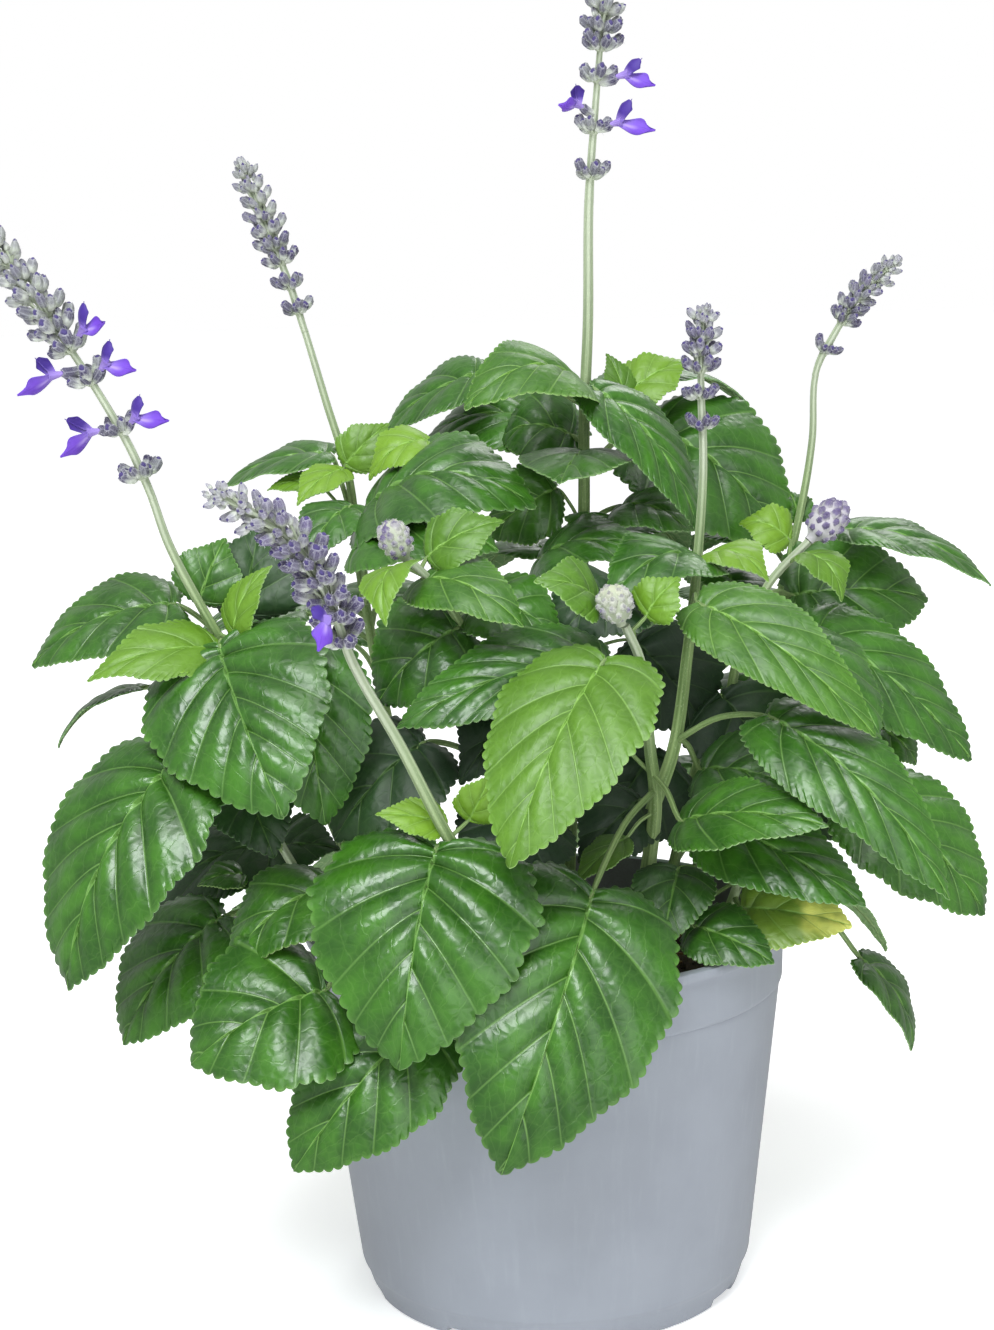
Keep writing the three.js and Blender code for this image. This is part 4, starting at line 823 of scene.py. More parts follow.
@lru_cache(maxsize=None)
def calyx_pattern(openness):
    """Points, faces and notes of one felted calyx: three short lobes round a dark closed bud."""
    angles = 2 * np.pi * np.arange(CALYX_SIDES) / CALYX_SIDES
    lobes = sum(np.exp(-((np.degrees(angles) - lobe + 180) % 360 - 180) ** 2 / LOBE_SPREAD)
                for lobe in LOBE_ANGLES)
    ribs = 1 + CALYX_RIBS * np.cos(angles * CALYX_SIDES / 2)
    rings, notes = [], []
    for k, (height, radius, lobed) in enumerate(CALYX_RINGS):
        inner = k >= CALYX_FIRST_INNER
        flare = 1 + (0.8 * openness - 0.25) * smooth_step(0.5, 1.0, height)
        spread = radius * flare * (1 if inner else ribs)
        rise = height + LOBE_LENGTH * lobed * (lobes - 0.45)
        rings.append(side_by_side(np.cos(angles) * spread * CALYX_FLATNESS,
                                  np.sin(angles) * spread, rise))
        notes.append(side_by_side(height, float(inner), angles))
    points, groups = closed_skin(rings, (0, 0, 0), (0, 0, CALYX_BUD_TOP))
    return points, groups, np.vstack([*notes, (0, 0, 0), (1, 1, 0)])


def add_calyx(shape, root, tip, upwards, girth, openness, youth, chance, lilac):
    way = unit(tip - root)
    length = np.linalg.norm(tip - root)
    lean = square_to(upwards + 0.01, way)
    side = np.cross(lean, way)
    points, faces, notes = calyx_pattern(openness)
    bow = CALYX_BOW * length * np.sin(np.pi * np.clip(points[:, 2], 0, 1))
    placed = (root + points[:, :1] * girth * length * side + points[:, 1:2] * girth * length * lean
              + points[:, 2:] * length * way - bow[:, None] * lean)
    seed = chance.uniform(0, 60)
    hue = row(lilac + chance.uniform(-0.25, 0.25), chance.uniform(), 0)
    shape.add(placed, faces, tone=side_by_side(youth, notes[:, 0], notes[:, 1]),
              grain=side_by_side(notes[:, 0] * length, notes[:, 2], seed), lay=hue)
    add_hairs(shape, placed[CALYX_SIDES:CALYX_FIRST_INNER * CALYX_SIDES], root, way, length, seed)


def add_hairs(shape, skin, root, way, length, seed):
    """Short hairs that stand out from the skin of a calyx, each a slim closed spike."""
    chance = chances(round(seed * 1000))
    spots = skin[chance.integers(0, len(skin), HAIR_COUNT)]
    spots = spots + chance.uniform(-0.3, 0.3, (HAIR_COUNT, 3))
    outwards = spots - root - ((spots - root) @ way)[:, None] * way
    lean = unit_rows(outwards) + HAIR_LEAN * way + chance.uniform(-0.3, 0.3, (HAIR_COUNT, 3))
    lean = unit_rows(lean)
    side = unit_rows(np.cross(lean, way + row(0.01, 0.02, 0)))
    across = np.cross(lean, side)
    reach = length * HAIR_REACH * chance.uniform(0.7, 1.3, (HAIR_COUNT, 1))
    corners = [spots - lean * HAIR_ROOT
               + HAIR_RADIUS * (math.cos(turn) * side + math.sin(turn) * across)
               for turn in (0, 2 * math.pi / 3, 4 * math.pi / 3)]
    points = np.stack(corners + [spots + lean * reach], axis=1).reshape(-1, 3)
    spike = np.array([(0, 1, 3), (1, 2, 3), (2, 0, 3), (0, 2, 1)])
    faces = (4 * np.arange(HAIR_COUNT)[:, None, None] + spike).reshape(-1, 3)
    shape.add(points, [faces], lay=(0.0, 0.0, 1.0))


def place_flower(flower):
    """Where an open flower leaves its spike and where its calyx ends, with its throat and lips."""
    name, throat, hood, lip = flower[0], *(row(*place) for place in flower[1:])
    curve = smooth_curve(SPIKES[name][0], 40)
    total = lengths_along(curve)[-1]
    below = throat - FLOWER_DROP * tangent_at(curve, total / 2)
    spots = at_lengths(curve, np.linspace(0, total, 81))
    root = spots[np.argmin(np.linalg.norm(spots - below, axis=1))]
    return {"root": root, "mouth": root + (throat - root) * CALYX_PART, "throat": throat,
            "hood": hood, "lip": lip, "spike": name}


def distance_to_line(point, start, end):
    part = np.clip(np.dot(point - start, end - start) / np.dot(end - start, end - start), 0, 1)
    return np.linalg.norm(start + part * (end - start) - point)


def flower_spike(name, chance):
    route, lone, dense, size = SPIKES[name]
    lilac = SPIKE_LILAC[name]
    shape = Shape()
    stalk_route, stalk_radii = STEMS["fork" if name == "main" else name]
    curve = smooth_curve((stalk_route[-2],) + route, 24)[24:]
    total = lengths_along(curve)[-1]
    flowers = [flower for flower in map(place_flower, OPEN_FLOWERS) if flower["spike"] == name]
    petals = [(flower[a], flower[b]) for flower in flowers
              for a, b in (("mouth", "throat"), ("throat", "hood"), ("throat", "lip"))]
    rachis = at_lengths(curve, np.linspace(0, total - 1.5, 60))
    rachis = np.vstack([rachis[0] - 2.0 * tangent_at(curve, 0), rachis])
    thickness = np.linspace(*RACHIS_RADII, 61)
    thickness[:10] += (stalk_radii[1] * STEM_SHARE - RACHIS_RADII[0]) * np.linspace(1, 0, 10)
    points, groups, parts, around = tube(rachis, thickness, STEM_SIDES, STEM_SQUARENESS)
    shape.add(points, groups, 1, tone=side_by_side(0.5 + 0.3 * parts, 1.0 + parts, 1),
              grain=side_by_side(parts * total, around, 0))

    def add_whorl(spot, number):
        is_lone = spot < dense
        youth = max(0.0, (spot - dense) / (total - dense))
        shrink = size * (1 - TIP_SHRINK * youth**3)
        centre = at_lengths(curve, row(spot))[0]
        axis = tangent_at(curve, spot)
        spoke = spokes(axis)
        for k in range(len(TIERS) * CALYX_COUNT):
            tier = k % len(TIERS)
            turn, reach_share, lift_share, length_share = TIERS[tier]
            if is_lone and tier == LONE_TIERS:
                continue
            step = k // len(TIERS) + turn
            angle = math.pi * (2 * step + number % 2) / CALYX_COUNT + chance.uniform(-0.2, 0.2)
            out = spoke(angle)
            reach = CALYX_REACH * shrink * (LONE_SPREAD if is_lone else 1) * reach_share
            reach *= chance.uniform(0.88, 1.04)
            lift = CALYX_LIFT * shrink * lift_share * chance.uniform(0.7, 1.2)
            tip = centre + out * reach + axis * lift
            if any(distance_to_line(tip, *petal) < FLOWER_ROOM * 0.8 for petal in petals):
                continue
            way = unit(out * reach + axis * (lift + 0.6))
            length = CALYX_LENGTH * shrink * length_share * chance.uniform(0.9, 1.1)
            root = tip - way * min(length, reach * 0.95)
            openness = float(np.clip(0.75 - 0.6 * youth + chance.uniform(-0.35, 0.25), 0.1, 1))
            openness = round(openness * OPENNESS_STEPS) / OPENNESS_STEPS
            add_calyx(shape, root, tip, axis, CALYX_GIRTH, openness, youth, chance, lilac)
            if reach > STALK_REACH:
                stalk = [centre + out * 0.9 - axis * 0.3, root + way * 0.4]
                points, groups, _, _ = tube(stalk, CALYX_STALK_RADII, 6)
                shape.add(points, groups, 1, tone=(1, 1, 1))

    for number, spot in enumerate(lone):
        add_whorl(spot, number)
    for number, spot in enumerate(np.arange(dense, total - 2, WHORL_STEP * size)):
        add_whorl(spot, number)
    axis = tangent_at(curve, total)
    for number in range(TIP_CALYCES):
        out = spokes(axis)(2 * math.pi * number / TIP_CALYCES + 0.4)
        root = curve[-1] - axis * 4.0 + out * 0.4
        tip = curve[-1] + out * 0.9 + axis * 0.2
        add_calyx(shape, root, tip, out, CALYX_GIRTH, CLOSED, 1.0, chance, lilac)
    for flower in flowers:
        tip = flower["mouth"] + unit(flower["mouth"] - flower["root"]) * 0.8
        upwards = flower["hood"] - flower["throat"]
        add_calyx(shape, flower["root"], tip, upwards, OPEN_CALYX_GIRTH, 1.0, 0.0, chance,
                  lilac + 0.3)
    return shape


def petal_sheet(root, tip, across, normal, half_widths, bow, curl, notch):
    """One side of a curved petal: its points, the way it faces, its faces, and its notes."""
    length = np.linalg.norm(tip - root)
    along = (tip - root) / length
    side = square_to(across, along)
    out = square_to(normal, along)
    s = np.linspace(0, 1, PETAL_STEPS + 1)
    t = np.linspace(-1, 1, PETAL_SPREAD + 1)
    wide = np.interp(s, *zip(*half_widths))
    wide = np.convolve(np.pad(wide, 1, mode="edge"), [0.2, 0.6, 0.2], mode="valid")
    reach = 1 - notch * np.exp(-((t / 0.22) ** 2)) - 0.16 * np.abs(t) ** 3
    x = s[:, None] * (1 + (reach - 1) * smooth_step(0.5, 1.0, s)[:, None]) * length
    y = wide[:, None] * t
    z = bow * 4 * s[:, None] * (1 - s[:, None]) + curl * (y**2)
    points = (root + x[..., None] * along + y[..., None] * side + z[..., None] * out).reshape(-1, 3)
    notes = side_by_side(s[:, None], t).reshape(-1, 2)
    return points, out, [grid_faces(PETAL_STEPS + 1, PETAL_SPREAD + 1)], notes


def open_flower(flower):
    shape = Shape()
    spots = place_flower(flower)
    throat, hood, lip, mouth = spots["throat"], spots["hood"], spots["lip"], spots["mouth"]
    outwards = unit(throat - spots["root"])
    across = unit(np.cross(hood - throat, lip - throat))
    path = smooth_curve([mouth + outwards * 0.3, (mouth + throat) / 2, throat + outwards * 0.4], 6)
    parts = np.linspace(0, 1, len(path))
    points, groups, spot, around = tube(path, 0.85 + 0.85 * parts**1.4, 14)
    shape.add(points, groups, tone=side_by_side(spot * 0.3, 0.5, 0),
              grain=side_by_side(spot, around, 0))
    turn = FACING_TURN.get(spots["spike"], PETAL_TURN)
    for tip, away, widths, bow, curl, notch, kind, more_turn in (
            (hood, lip, HOOD_WIDTHS, 0.9, -0.14, 0.0, 0.0, HOOD_TURN),
            (lip, hood, LIP_WIDTHS, 1.1, -0.09, 0.05, 1.0, 0.0)):
        way = unit(tip - throat)
        turned = Matrix.Rotation(turn + more_turn, 3, way.tolist())
        wide = np.array(turned) @ across
        normal = np.cross(way, wide)
        normal = normal if np.dot(normal, away - throat) < 0 else -normal
        root = throat - outwards * 1.2
        points, out, faces, notes = petal_sheet(root, tip, wide, normal, widths, bow, curl, notch)
        both, groups = two_sided(points, points - out * PETAL_SHEET, faces)
        rise, edge = np.tile(notes, (2, 1)).T
        shape.add(both, groups, tone=side_by_side(rise, kind, np.abs(edge)),
                  grain=side_by_side(rise * 8, edge * 3, kind * 7))
    style = smooth_curve([throat - outwards, throat + (hood - throat) * 0.6 + outwards * 0.3,
                          hood + outwards * 0.6 + unit(hood - throat) * 0.2], 6)
    points, groups, spot, _ = tube(style, np.linspace(*STYLE_RADII, len(style)), 6)
    shape.add(points, groups, tone=side_by_side(spot, 0.2, 0))
    return shape


# rings of unopened calyces round a head: (degrees down from its top, number of calyces)
HEAD_RINGS = ((0, 1), (30, 5), (56, 8), (82, 9), (108, 9), (135, 7))
HEAD_MIDDLE = 0.46


def head_girth(part):
    """How wide a head is at a part of its length, against its widest."""
    return max(0.12, 1 - abs(2 * part - 0.86) ** 2.6)


def bud_head(name, chance):
    """A closed head: rows of short unopened calyces that point outwards from a round core."""
    foot, top, radius = (np.asarray(value, dtype=float) for value in HEADS[name])
    shape = Shape()
    axis = unit(top - foot)
    length = np.linalg.norm(top - foot)
    spoke = spokes(axis)
    spot = np.linspace(-0.12, 0.97, 16)
    girth = np.array([0.25 + 0.55 * head_girth(part) * smooth_step(-0.12, 0.15, part)
                      for part in spot])
    girth[-1] = 0.1
    points, groups, parts, _ = tube(foot + (spot * length)[:, None] * axis, radius * girth, 16)
    shape.add(points, groups, lay=(HEAD_LILAC[name], 0.0, 0.0),
              tone=side_by_side(parts * 0.8, parts * 0.6, 0))
    middle = foot + axis * length * HEAD_MIDDLE
    for number, (degrees, count) in enumerate(HEAD_RINGS):
        for k in range(count):
            angle = 2 * math.pi * (k + 0.5 * (number % 2)) / count + chance.uniform(-0.12, 0.12)
            down = math.radians(degrees + chance.uniform(-5, 5))
            out = spoke(angle) * math.sin(down) * radius
            climb = axis * math.cos(down) * length * (1 - HEAD_MIDDLE)
            root = middle + (out + climb) * 0.4 - axis * 0.8
            tip = middle + (out + climb) * chance.uniform(0.92, 1.02)
            add_calyx(shape, root, tip, axis, HEAD_CALYX_GIRTH, CLOSED, 1 - degrees / 180, chance,
                      HEAD_LILAC[name])
    return shape


# ---- pot and potting mix -----------------------------------------------------------------------
def lathe(profile, sides):
    """A solid of revolution from (radius, height) points, whose first and last lie on the axis."""
    angles = 2 * np.pi * np.arange(sides) / sides
    rings = [side_by_side(radius * np.cos(angles), radius * np.sin(angles), z)
             for radius, z in profile[1:-1]]
    return closed_skin(rings, (0, 0, profile[0][1]), (0, 0, profile[-1][1]))


GROOVE_HEIGHT = 108.4
GROOVE_RADIUS = 80.6
WALL_FOOT_HEIGHT = 10.5
WALL_FOOT_RADIUS = 69.0
FOOT_RADIUS = 65.5
FOOT_TOP_RADIUS = 67.8
COLLAR_FOOT_RADIUS = 81.5
COLLAR_TOP_RADIUS = 82.2
LIP_HEIGHT = 3.6
FOOT_HOLLOW = 0.6
NOTCH_COUNT = 8
NOTCH_START = 0.35
NOTCH_HEIGHT = 4.5
NOTCH_HALF_WIDTH = 7.5
FLOOR_THICKNESS = 3.0
SOIL_GAP = 2.4
SOIL_LEVEL = 112
SOIL_DOME = 5.5
SOIL_SIDES = 96
SOIL_ROUGHNESS = 0.5
# waves of the top of the mix: how close, and where they start in X and in Y
SOIL_BUMPS = ((0.35, 1, 2), (0.62, 4, 0.5), (1.15, 2, 5))
CRUMB_LEVEL = 112.3
CRUMB_SIZES = (0.8, 2.6)


def pot_shape(sizes):
    height, lip, wall = (value / MM for value in (sizes.height, sizes.lip_radius, sizes.wall))
    under_lip = height - LIP_HEIGHT
    collar_inside = COLLAR_TOP_RADIUS - wall
    profile = [
        (0, FOOT_HOLLOW), (FOOT_RADIUS - 14, FOOT_HOLLOW), (FOOT_RADIUS - 9.5, 0.5),
        (FOOT_RADIUS - 8.5, 0), (FOOT_RADIUS - 4, 0), (FOOT_RADIUS - 1.2, 0),
        (FOOT_RADIUS - 0.3, 0.4), (FOOT_RADIUS, 1.2), (66.1, 3.0), (66.9, 5.5),
        (FOOT_TOP_RADIUS - 0.15, WALL_FOOT_HEIGHT - 2.4),
        (FOOT_TOP_RADIUS + 0.35, WALL_FOOT_HEIGHT - 1.5),
        (WALL_FOOT_RADIUS - 0.25, WALL_FOOT_HEIGHT - 0.6),
        (WALL_FOOT_RADIUS, WALL_FOOT_HEIGHT + 0.3)]
    for part in np.linspace(0.1, 0.98, 12):
        profile.append((WALL_FOOT_RADIUS + (GROOVE_RADIUS - WALL_FOOT_RADIUS) * part,
                        WALL_FOOT_HEIGHT + (GROOVE_HEIGHT - WALL_FOOT_HEIGHT) * part))
    profile += [
        (GROOVE_RADIUS, GROOVE_HEIGHT), (GROOVE_RADIUS - 0.05, GROOVE_HEIGHT + 0.7),
        (GROOVE_RADIUS + 0.35, GROOVE_HEIGHT + 1.0),
        (COLLAR_FOOT_RADIUS - 0.1, GROOVE_HEIGHT + 1.5),
        (COLLAR_FOOT_RADIUS + 0.05, GROOVE_HEIGHT + 2.2), (COLLAR_TOP_RADIUS - 0.3, under_lip - 5),
        (COLLAR_TOP_RADIUS, under_lip - 0.8), (COLLAR_TOP_RADIUS + 0.3, under_lip - 0.2),
        (lip - 1.0, under_lip), (lip - 0.25, under_lip + 0.2), (lip, under_lip + 0.8),
        (lip, height - 1.1),
        (lip - 0.3, height - 0.35), (lip - 1.0, height), (collar_inside + 0.9, height),
        (collar_inside + 0.2, height - 0.3), (collar_inside, height - 1.0),
        (GROOVE_RADIUS - wall, GROOVE_HEIGHT),
        (WALL_FOOT_RADIUS - wall - 1.2, WALL_FOOT_HEIGHT + 1),
        (FOOT_RADIUS - wall - 0.5, FLOOR_THICKNESS), (0, FLOOR_THICKNESS)]
    points, groups = lathe(profile, sizes.sides)
    angle = np.degrees(np.arctan2(points[:, 1], points[:, 0])) % 360
    reach = np.hypot(points[:, 0], points[:, 1])
    middles = 360 * (np.arange(NOTCH_COUNT) + NOTCH_START) / NOTCH_COUNT
    away = np.min(np.abs((angle[:, None] - middles + 180) % 360 - 180), axis=1)
    across = np.radians(away) * np.maximum(reach, 1)
    arch = 1 - smooth_step(NOTCH_HALF_WIDTH * 0.75, NOTCH_HALF_WIDTH, across)
    low = (reach > FOOT_RADIUS - 9) & (reach < FOOT_RADIUS + 1.2) & (points[:, 2] < 2)
    raised = np.maximum(points[:, 2], points[:, 2] * 0.3 + arch * NOTCH_HEIGHT)
    points[:, 2] = np.where(low, raised, points[:, 2])
    shape = Shape()
    shape.add(points, groups, grain=points, tone=side_by_side(points[:, 2], reach, angle))
    return shape


def soil_shape(chance, crumbs):
    """The filled mix with a rough top and half-sunk crumbs of bark."""
    def wall(z):
        share = (z - WALL_FOOT_HEIGHT) / (GROOVE_HEIGHT - WALL_FOOT_HEIGHT)
        return WALL_FOOT_RADIUS + (GROOVE_RADIUS - WALL_FOOT_RADIUS) * share - SOIL_GAP

    foot, shoulder, edge = FLOOR_THICKNESS + 0.4, WALL_FOOT_HEIGHT + 1, wall(GROOVE_HEIGHT)
    profile = [(0, foot), (FOOT_RADIUS - SOIL_GAP - 1.1, foot), (wall(shoulder) - 2.2, shoulder),
               (edge - 0.4, GROOVE_HEIGHT), (edge, SOIL_LEVEL - 0.6)]
    for part in np.linspace(0.97, 0.04, 24):
        profile.append((edge * part, SOIL_LEVEL + SOIL_DOME * (1 - part**2)))
    profile.append((0, SOIL_LEVEL + SOIL_DOME))
    points, groups = lathe(profile, SOIL_SIDES)
    bumps = sum(np.sin(points[:, 0] * f + a) * np.sin(points[:, 1] * f * 1.1 + b)
                for f, a, b in SOIL_BUMPS)
    rough = chance.uniform(-1, 1, len(points))
    raised = points[:, 2] + SOIL_ROUGHNESS * bumps + SOIL_ROUGHNESS * rough
    points[:, 2] = np.where(points[:, 2] > SOIL_LEVEL - 0.5, raised, points[:, 2])
    shape = Shape()
    shape.add(points, groups, grain=points)
    base, faces = lump_pattern()
    for _ in range(crumbs):
        reach, angle = edge * 0.95 * math.sqrt(chance.uniform()), chance.uniform(0, 2 * math.pi)
        rise = CRUMB_LEVEL + SOIL_DOME * (1 - (reach / edge) ** 2)
        centre = row(reach * math.cos(angle), reach * math.sin(angle), rise)
        size = chance.uniform(*CRUMB_SIZES)
        stretch = chance.uniform(0.5, 1.4, 3)
        turn = np.array(Euler(chance.uniform(0, 6.28, 3).tolist()).to_matrix())
        lump = base * (1 + 0.3 * chance.uniform(-1, 1, (len(base), 1))) * stretch * size
        placed = lump @ turn.T + centre
        shape.add(placed, faces, grain=placed, tone=(chance.uniform(), size, 1))
    return shape


def lump_pattern():
    """A rounded lump of radius 1 with twenty faces."""
    gold = (1 + 5**0.5) / 2
    signs = [(s, t * gold) for s in (-1, 1) for t in (-1, 1)]
    corners = np.array([(a, b, 0) for a, b in signs] + [(0, a, b) for a, b in signs]
                       + [(b, 0, a) for a, b in signs], dtype=float)
    corners /= np.linalg.norm(corners[0])
    apart = np.linalg.norm(corners[:, None] - corners, axis=2)
    near = (apart > 0) & (apart < apart[apart > 0].min() * 1.01)
    faces = []
    for a, b, c in combinations(range(len(corners)), 3):
        if near[a, b] and near[b, c] and near[a, c]:
            out = np.dot(np.cross(corners[b] - corners[a], corners[c] - corners[a]), corners[a])
            faces.append((a, b, c) if out > 0 else (a, c, b))
    return corners, np.array(faces)


# ---- finishes ----------------------------------------------------------------------------------
def shade(red, green, blue):
    """A display colour from 0 to 255 a channel as the linear colour that Blender keeps."""
    def linear(value):
        value = value / 255
        return value / 12.92 if value <= 0.04045 else ((value + 0.055) / 1.055) ** 2.4
    return linear(red), linear(green), linear(blue)


FADING_GREEN = shade(138, 166, 60)
# painted shade on the upper side of leaves in the shade of others
SHADED_GREEN = shade(12, 40, 17)
SPECK_GREEN = shade(120, 150, 90)
CLOUDED_UNDERSIDE = shade(150, 178, 128)
# painted shade on the underside of leaves in the shade of others
SHADED_UNDERSIDE = shade(22, 46, 20)
UNDERSIDE_VEIN = shade(172, 195, 140)
STEM_DOWN = shade(205, 215, 180)
YOUNG_BUD = shade(206, 212, 156)
BUD_WOOL = shade(208, 206, 206)
LILAC_BUD = shade(190, 184, 194)
PETAL_GUIDE = shade(200, 178, 232)
MOULD_STREAK = shade(205, 210, 218)
WORN_PLASTIC = shade(120, 124, 132)
POT_DUST = shade(140, 128, 112)
# painted shade for the inside wall of the pot above the mix
SHADED_INNER_WALL = shade(72, 68, 64)
# where the inside wall of the pot gets painted shade: just within this radius and above this height
INNER_WALL_REACH = (80.75, 81.2)
INNER_WALL_HEIGHT = (110, 112)
PEAT_FIBRE = shade(96, 74, 52)
FLOOR_CLOUD = (0.95, 0.95, 0.95)


class Channel:
    """A shader socket that takes part in Python expressions: each operation adds its Math node."""

    def __init__(self, finish, socket):
        self.finish = finish
        self.socket = socket

    def __rsub__(self, other):
        return self.finish.maths("SUBTRACT", other, self)

    def clipped(self):
        return self.at_least(0.0).at_most(1.0)

    def rise(self, low, high):
        """0 below low and 1 above high, with a soft step between."""
        return self.finish.node("ShaderNodeMapRange", {"interpolation_type": "SMOOTHSTEP"},
                                {"Value": self, "From Min": low, "From Max": high}, "Result")

    def split(self):
        node = self.finish.node("ShaderNodeSeparateXYZ", {}, {"Vector": self}, None)
        return [Channel(self.finish, socket) for socket in node.outputs]


def channel_maths(operation):
    """A method of Channel that makes the Math node of an operation."""
    def apply(channel, *others):
        return channel.finish.maths(operation, channel, *others)
    return apply


for method, operation in (
        ("__add__", "ADD"), ("__radd__", "ADD"), ("__sub__", "SUBTRACT"), ("__mul__", "MULTIPLY"),
        ("__rmul__", "MULTIPLY"), ("__truediv__", "DIVIDE"), ("__abs__", "ABSOLUTE"),
        ("sine", "SINE"), ("part_of_turn", "FRACT"), ("whole", "FLOOR"), ("at_most", "MINIMUM"),
        ("at_least", "MAXIMUM")):
    setattr(Channel, method, channel_maths(operation))


def socket_called(sockets, name):
    """The socket with an identifier, or else with a name or a place in the list."""
    exact = [socket for socket in sockets if socket.identifier == name]
    return exact[0] if exact else sockets[name]


class Finish:
    """A material in the making."""

    def __init__(self, name):
        self.material = bpy.data.materials.new(name)
        self.material.use_nodes = True
        self.tree = self.material.node_tree
        self.shader = next(node for node in self.tree.nodes if node.type == "BSDF_PRINCIPLED")

    def put(self, socket, value):
        if isinstance(value, Channel):
            self.tree.links.new(value.socket, socket)
        else:
            socket.default_value = (*value, 1.0) if socket.type == "RGBA" else value

    def node(self, kind, settings, sockets, output=0):
        """A node of a kind with its settings made first, then its sockets, and one output of it."""
        made = self.tree.nodes.new(kind)
        for name, value in settings.items():
            setattr(made, name, value)
        for name, value in sockets.items():
            self.put(socket_called(made.inputs, name), value)
        return made if output is None else Channel(self, socket_called(made.outputs, output))

    def maths(self, operation, *values):
        return self.node("ShaderNodeMath", {"operation": operation}, dict(enumerate(values)))

    def note(self, name):
        return self.node("ShaderNodeAttribute", {"attribute_name": name}, {}, "Vector")

    def mix(self, factor, first, second):
        """Two colours mixed."""
        sockets = {"Factor_Float": factor, "A_Color": first, "B_Color": second}
        return self.node("ShaderNodeMix", {"data_type": "RGBA"}, sockets, "Result_Color")

    def layered(self, colour, *layers):
        """A colour with others laid over it in turn, each given as (factor, colour)."""
        for factor, over in layers:
            colour = self.mix(factor, colour, over)
        return colour

    def noise(self, where, scale, detail, roughness=0.55):
        sockets = {"Vector": where, "Scale": scale, "Detail": detail, "Roughness": roughness}
        return self.node("ShaderNodeTexNoise", {}, sockets, "Fac")

    def drawn_noise(self, where, factors, detail):
        """Noise that is drawn out by a different factor in each direction."""
        drawn = self.node("ShaderNodeVectorMath", {"operation": "MULTIPLY"},
                          {0: where, 1: factors}, "Vector")
        return self.noise(drawn, 1.0, detail)

    def cells(self, where, scale):
        """The distance to the edge of the nearest of many irregular cells."""
        return self.node("ShaderNodeTexVoronoi", {"feature": "DISTANCE_TO_EDGE"},
                         {"Vector": where, "Scale": scale}, "Distance")

    def relief(self, height, strength, distance):
        """The way the surface faces with a relief on it, whose distance is in mm."""
        sockets = {"Strength": strength, "Distance": distance * MM, "Height": height}
        return self.node("ShaderNodeBump", {}, sockets, "Normal")

    def close(self, **sockets):
        """Sets the shader's sockets, named with underscores for spaces, and gives the material."""
        for name, value in sockets.items():
            self.put(self.shader.inputs[name.replace("_", " ")], value)
        return self.material


def vein_masks(finish, grain, youth, part):
    """Where a point lies across its blade, and where the veins, the net and the pillows run."""
    phase, rung, q = finish.note("lay").split()
    line = abs(phase.part_of_turn() - 0.5) * 2
    side_vein = line.rise(0.91, 0.985) * (1 - q * 0.6)
    wander = finish.noise(grain, 0.22, 2) * 0.7
    rung_line = abs((rung + wander + phase.whole() * 0.5).part_of_turn() - 0.5) * 2
    cross_vein = rung_line.rise(0.9, 0.99) * (1 - line.rise(0.8, 1.0)) * (1 - q * 0.4)
    midrib_width = (1.0 - part * 0.85) * (1 - youth * 0.4)
    midrib = 1 - (abs(grain.split()[1]) / midrib_width).rise(0.4, 0.9)
    pillow = finish.cells(grain, 0.27)
    net = 1 - pillow.rise(0.0, 0.1)
    return q, line, pillow, (net, cross_vein, side_vein, midrib)


def strongest(masks, weights):
    """At each point the strongest of some masks, each of them weighted."""
    return reduce(Channel.at_least, (mask * weight for mask, weight in zip(masks, weights)))


def leaf_upper_finish(looks):
    """The glossy upper side, dark between pale veins, brighter on young leaves, with painted shade in
    the grooves along the veins and on shaded leaves.
    """
    finish = Finish("leaf_upper_side")
    grain = finish.note("grain")
    youth, fading, part = finish.note("tone").split()
    q, line, pillow, veins = vein_masks(finish, grain, youth, part)
    faded, shaded = fading.clipped(), (0 - fading).clipped()
    cloud, speck = finish.noise(grain, 0.07, 3), finish.noise(grain, 0.9, 2)
    mature = finish.mix(cloud.rise(0.3, 0.7), looks.mature_dark, looks.mature_light)
    young = finish.mix(cloud.rise(0.3, 0.7), looks.young_dark, looks.young_light)
    vein = finish.mix(youth, looks.vein_mature, looks.vein_young)
    # the veins, and a paler rim along the edge of the blade, partly its own colour and partly painted
    # highlight
    strength = strongest(veins, (0.05, 0.15, 0.5, 0.62)).at_least(q.rise(0.95, 1.0) * 0.22)
    colour = finish.layered(
        mature,
        (youth.rise(0.1, 0.9), young),
        (youth.rise(0.82, 1.0) * 0.8, looks.newest),
        (fading.rise(0.3, 0.9) * 0.55, FADING_GREEN),
        ((fading * (part * 0.8 + cloud * 0.9)).rise(0.9, 1.22), looks.faded),
        # painted shade: leaves in the shade of others and in the heart of the plant go towards a
        # near-black green, and their veins fade with it
        (shaded * 0.95, SHADED_GREEN),
        # painted shade in the grooves along the side veins
        (line.rise(0.4, 0.96) * (1 - q * 0.4) * (0.5 - youth * 0.3) * (1 - faded), looks.groove_shade),
        (speck.rise(0.6, 0.85) * 0.1, SPECK_GREEN),
        (strength * (1 - shaded * 0.8), vein))
    _, cross_vein, side_vein, _ = veins
    height = pillow.rise(0.0, 0.4) * 0.45 - cross_vein * 0.2 - side_vein * 0.8
    height = height + cloud * 0.8 + speck * 0.04
    return finish.close(
        Base_Color=colour,
        Roughness=0.27 + speck * 0.06 + youth * 0.18 + shaded * 0.25,
        Normal=finish.relief(height, 0.45, 0.5),
        Specular_IOR_Level=0.5)


